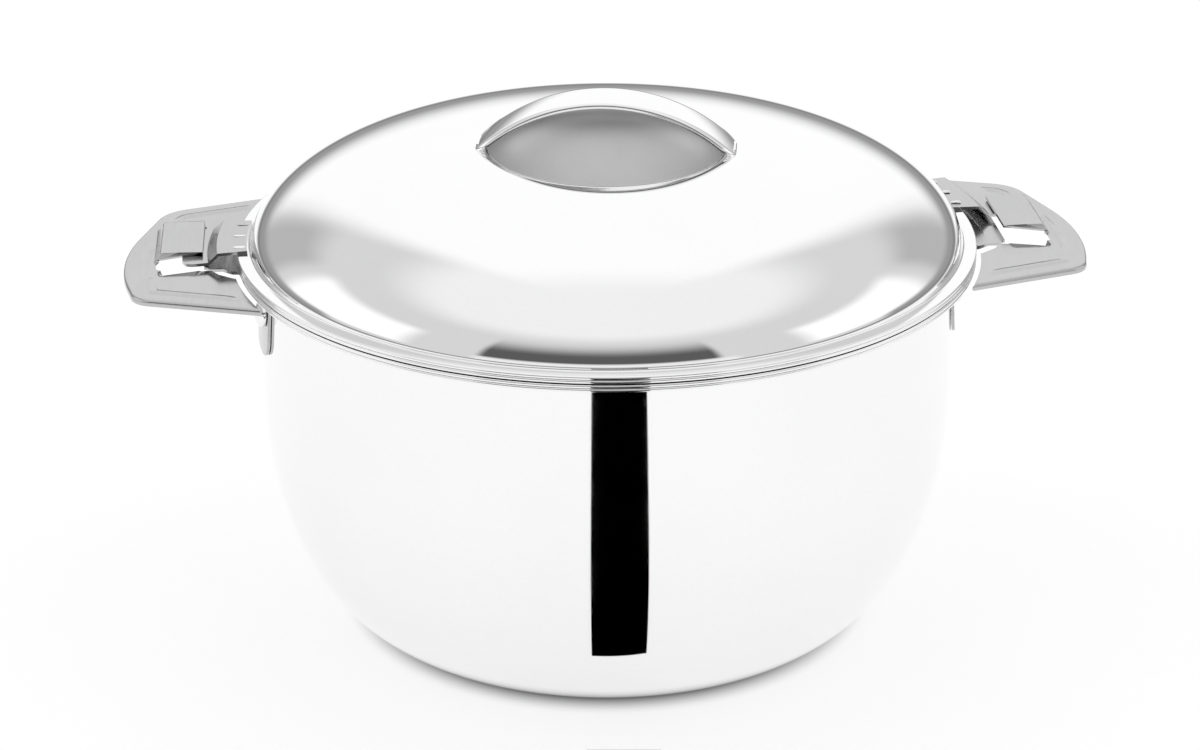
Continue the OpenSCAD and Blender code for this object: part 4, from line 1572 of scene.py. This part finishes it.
@dataclass(frozen=True)
class Studio:
    """Floor, a black card on it, light all round in fields, and the camera."""

    heading: float = -5.4
    elevation: float = 23.22
    distance: float = 1050.0
    aim: Solid = (0.0, 0.0, 82.67)
    focal: float = 3032.8
    centre: Flat = (606.5, 371.2)
    frame: Flat = (1200.0, 750.0)
    floor_r: float = 6000.0
    # The near and far tones, the span and the glow's fall below paint a light falloff that darkens
    # the floor far away.
    floor_tones: Flat = (0.42, 0.1)
    far_span: Flat = (1.15, 2.2)
    glow: float = 0.68
    glow_fall: float = 0.5
    # Painted shadow: the floor's glow fades out under the pot over this span, in metres.
    foot_span: Flat = (0.08, 0.094)
    base_light: float = 0.71
    front_shift: float = 2.2
    card: tuple[Solid, ...] = ((-6.4, -117, 0.4), (17.6, -117, 0.4), (326, -1550, 0.4),
                               (-119, -1550, 0.4))

    def camera(self) -> None:
        """Sets the camera at the photograph's angle."""
        ce, se = cosd(self.elevation), sind(self.elevation)
        back = Vector((0, -ce, se))
        place = Vector(self.aim) * MM + back * self.distance * MM
        frame = Matrix(((1, 0, 0), (0, se, ce), back)).transposed().to_4x4()
        frame.translation = place
        data = bpy.data.cameras.new("camera")
        data.sensor_width = 36.0
        wide, high = self.frame
        data.lens = self.focal / wide * data.sensor_width
        data.shift_x = (wide / 2 - self.centre[0]) / wide
        data.shift_y = (self.centre[1] - high / 2) / wide
        data.clip_start, data.clip_end = 0.01, 50.0
        camera = linked("camera", data)
        camera.matrix_world = Matrix.Rotation(math.radians(self.heading), 4, "Z") @ frame
        bpy.context.scene.camera = camera

    def floor(self) -> None:
        """Wide pale floor, darkened far away by a painted light falloff, with a painted shadow
        under the pot where it loses its glow.
        """
        rings = [0.0, 200, 400, 700, 1000, 1300, 1800, 2600, self.floor_r]
        count = 96
        points = [(r * cosd(a), r * sind(a), 0.0) for r in rings
                  for a in steps(0, 360, count)[:-1]]
        faces = [(i * count + j, (i + 1) * count + j, (i + 1) * count + (j + 1) % count,
                  i * count + (j + 1) % count) for i in range(len(rings) - 1)
                 for j in range(count)]
        material, tree = blank_material("pale floor")
        where = tree.add("ShaderNodeTexCoord").outputs["Object"]
        away = tree.add("ShaderNodeVectorMath", {"operation": "LENGTH"}, i0=where).outputs["Value"]
        # Painted light falloff: the floor's tone and glow darken with distance from the pot.
        far = tree.ramp(away, *self.far_span)
        near_tone, far_tone = ((t, t, t, 1) for t in self.floor_tones)
        tone = tree.add("ShaderNodeMix", {"data_type": "RGBA"}, i0=far, i6=near_tone,
                        i7=far_tone).outputs[2]
        glow = tree.math("MULTIPLY_ADD", far, -self.glow_fall, self.glow)
        # Painted shadow under the pot: the glow is taken out where the pot stands.
        glow = tree.math("MULTIPLY", glow, tree.ramp(away, *self.foot_span))
        ray = tree.add("ShaderNodeLightPath").outputs
        mirrored = tree.math("MAXIMUM", ray["Is Glossy Ray"], ray["Is Transmission Ray"])
        seen = tree.math("MAXIMUM", ray["Is Camera Ray"], mirrored)
        glow = tree.math("MULTIPLY", glow, seen)
        soft = tree.add("ShaderNodeBsdfDiffuse", Color=tone)
        light = tree.add("ShaderNodeEmission", Strength=glow)
        surface = tree.add("ShaderNodeAddShader", i0=soft.outputs[0], i1=light.outputs[0])
        tree.add("ShaderNodeOutputMaterial", Surface=surface.outputs[0])
        sheet = add_mesh("floor", points, faces, material)
        self.face_up(sheet)

    @staticmethod
    def face_up(sheet: bpy.types.Object) -> None:
        """Turns a flat sheet's faces upwards."""
        if sheet.data.polygons[-1].normal.z < 0:
            sheet.data.flip_normals()

    def black_card(self) -> None:
        """Lays a black card on the floor in front of the pot, which the body mirrors."""
        material, tree = blank_material("black card")
        light = tree.add("ShaderNodeEmission", Color=(1, 1, 1, 1), Strength=0.0)
        tree.add("ShaderNodeOutputMaterial", Surface=light.outputs[0])
        card = add_mesh("black card", [turned(c, self.heading) for c in self.card],
                        [tuple(range(len(self.card)))], material)
        self.face_up(card)

    def light(self) -> None:
        """Light all round, in brighter and darker fields."""
        world = bpy.data.worlds.new("studio")
        world.use_nodes = True
        world.node_tree.nodes.clear()
        bpy.context.scene.world = world
        tree = Tree(world.node_tree)
        way = tree.add("ShaderNodeTexCoord").outputs["Generated"]
        turn = tree.add("ShaderNodeMapping", {"vector_type": "POINT"}, Vector=way,
                        Rotation=(0, 0, math.radians(-self.heading)))
        parts = tree.add("ShaderNodeSeparateXYZ", Vector=turn.outputs[0]).outputs
        rise = tree.math("DEGREES", tree.math("ARCSINE", parts["Z"]))
        signed = tree.math("DEGREES", tree.math(
            "ARCTAN2", parts["X"], tree.math("MULTIPLY", parts["Y"], -1.0)))
        side = tree.math("ABSOLUTE", signed)
        front = tree.math("ABSOLUTE", tree.math("ADD", signed, self.front_shift))
        tone: object = self.base_light
        fields = [
            (0.93, self.both(tree, (rise, 46, 62))),
            (1.05, self.both(tree, (side, 146, 158), (rise, 5, 12), (rise, 78, 58))),
            (1.1, self.both(tree, (side, 60, 70), (side, 122, 112), (rise, 2, 6), (rise, 38, 30))),
            (0.49, self.both(tree, (side, 121, 131), (side, 153, 143), (rise, 37, 25))),
            (0.33, self.both(tree, (side, 90, 100), (rise, 8, 1))),
            (0.11, self.both(tree, (front, 39, 35), (rise, 50, 25), (rise, 4, 12))),
            (0.9, self.both(tree, (side, 43, 38), (rise, 12, 4))),
        ]
        for value, mask in fields:
            tone = tree.add("ShaderNodeMix", {"data_type": "FLOAT"}, i0=mask, i2=tone,
                            i3=value).outputs[0]
        light = tree.add("ShaderNodeBackground", Color=(1, 1, 1, 1), Strength=tone)
        tree.add("ShaderNodeOutputWorld", Surface=light.outputs[0])

    @staticmethod
    def both(tree: Tree, *limits: tuple[bpy.types.NodeSocket, float, float]) -> object:
        """Product of smooth steps, each of a value between two limits."""
        mask: object = None
        for value, low, high in limits:
            step = tree.ramp(value, low, high)
            mask = step if mask is None else tree.math("MULTIPLY", mask, step)
        return mask

    def build(self) -> None:
        """Sets up the whole studio."""
        bpy.context.scene.view_settings.view_transform = "Standard"
        self.camera()
        self.floor()
        self.black_card()
        self.light()


# ---------------------------------------------------------------- main


def main() -> None:
    """Loads the frame, builds each sub-assembly and the studio."""
    logging.basicConfig(level=logging.INFO, format="%(name)s: %(message)s")
    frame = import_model()
    sizes, rack = PotSizes(), FinishRack()
    spin, row = TurnedSheet(), FastenerRow()
    PotBody(sizes, spin, rack).build()
    for side in Side:
        Handle(sizes, side, rack).build()
    Fasteners(sizes, rack, row).build()
    Lid(sizes, spin, rack).build()
    HiddenParts(frame["nodes"], rack).dress()
    Studio().build()


if __name__ == "__main__":
    main()
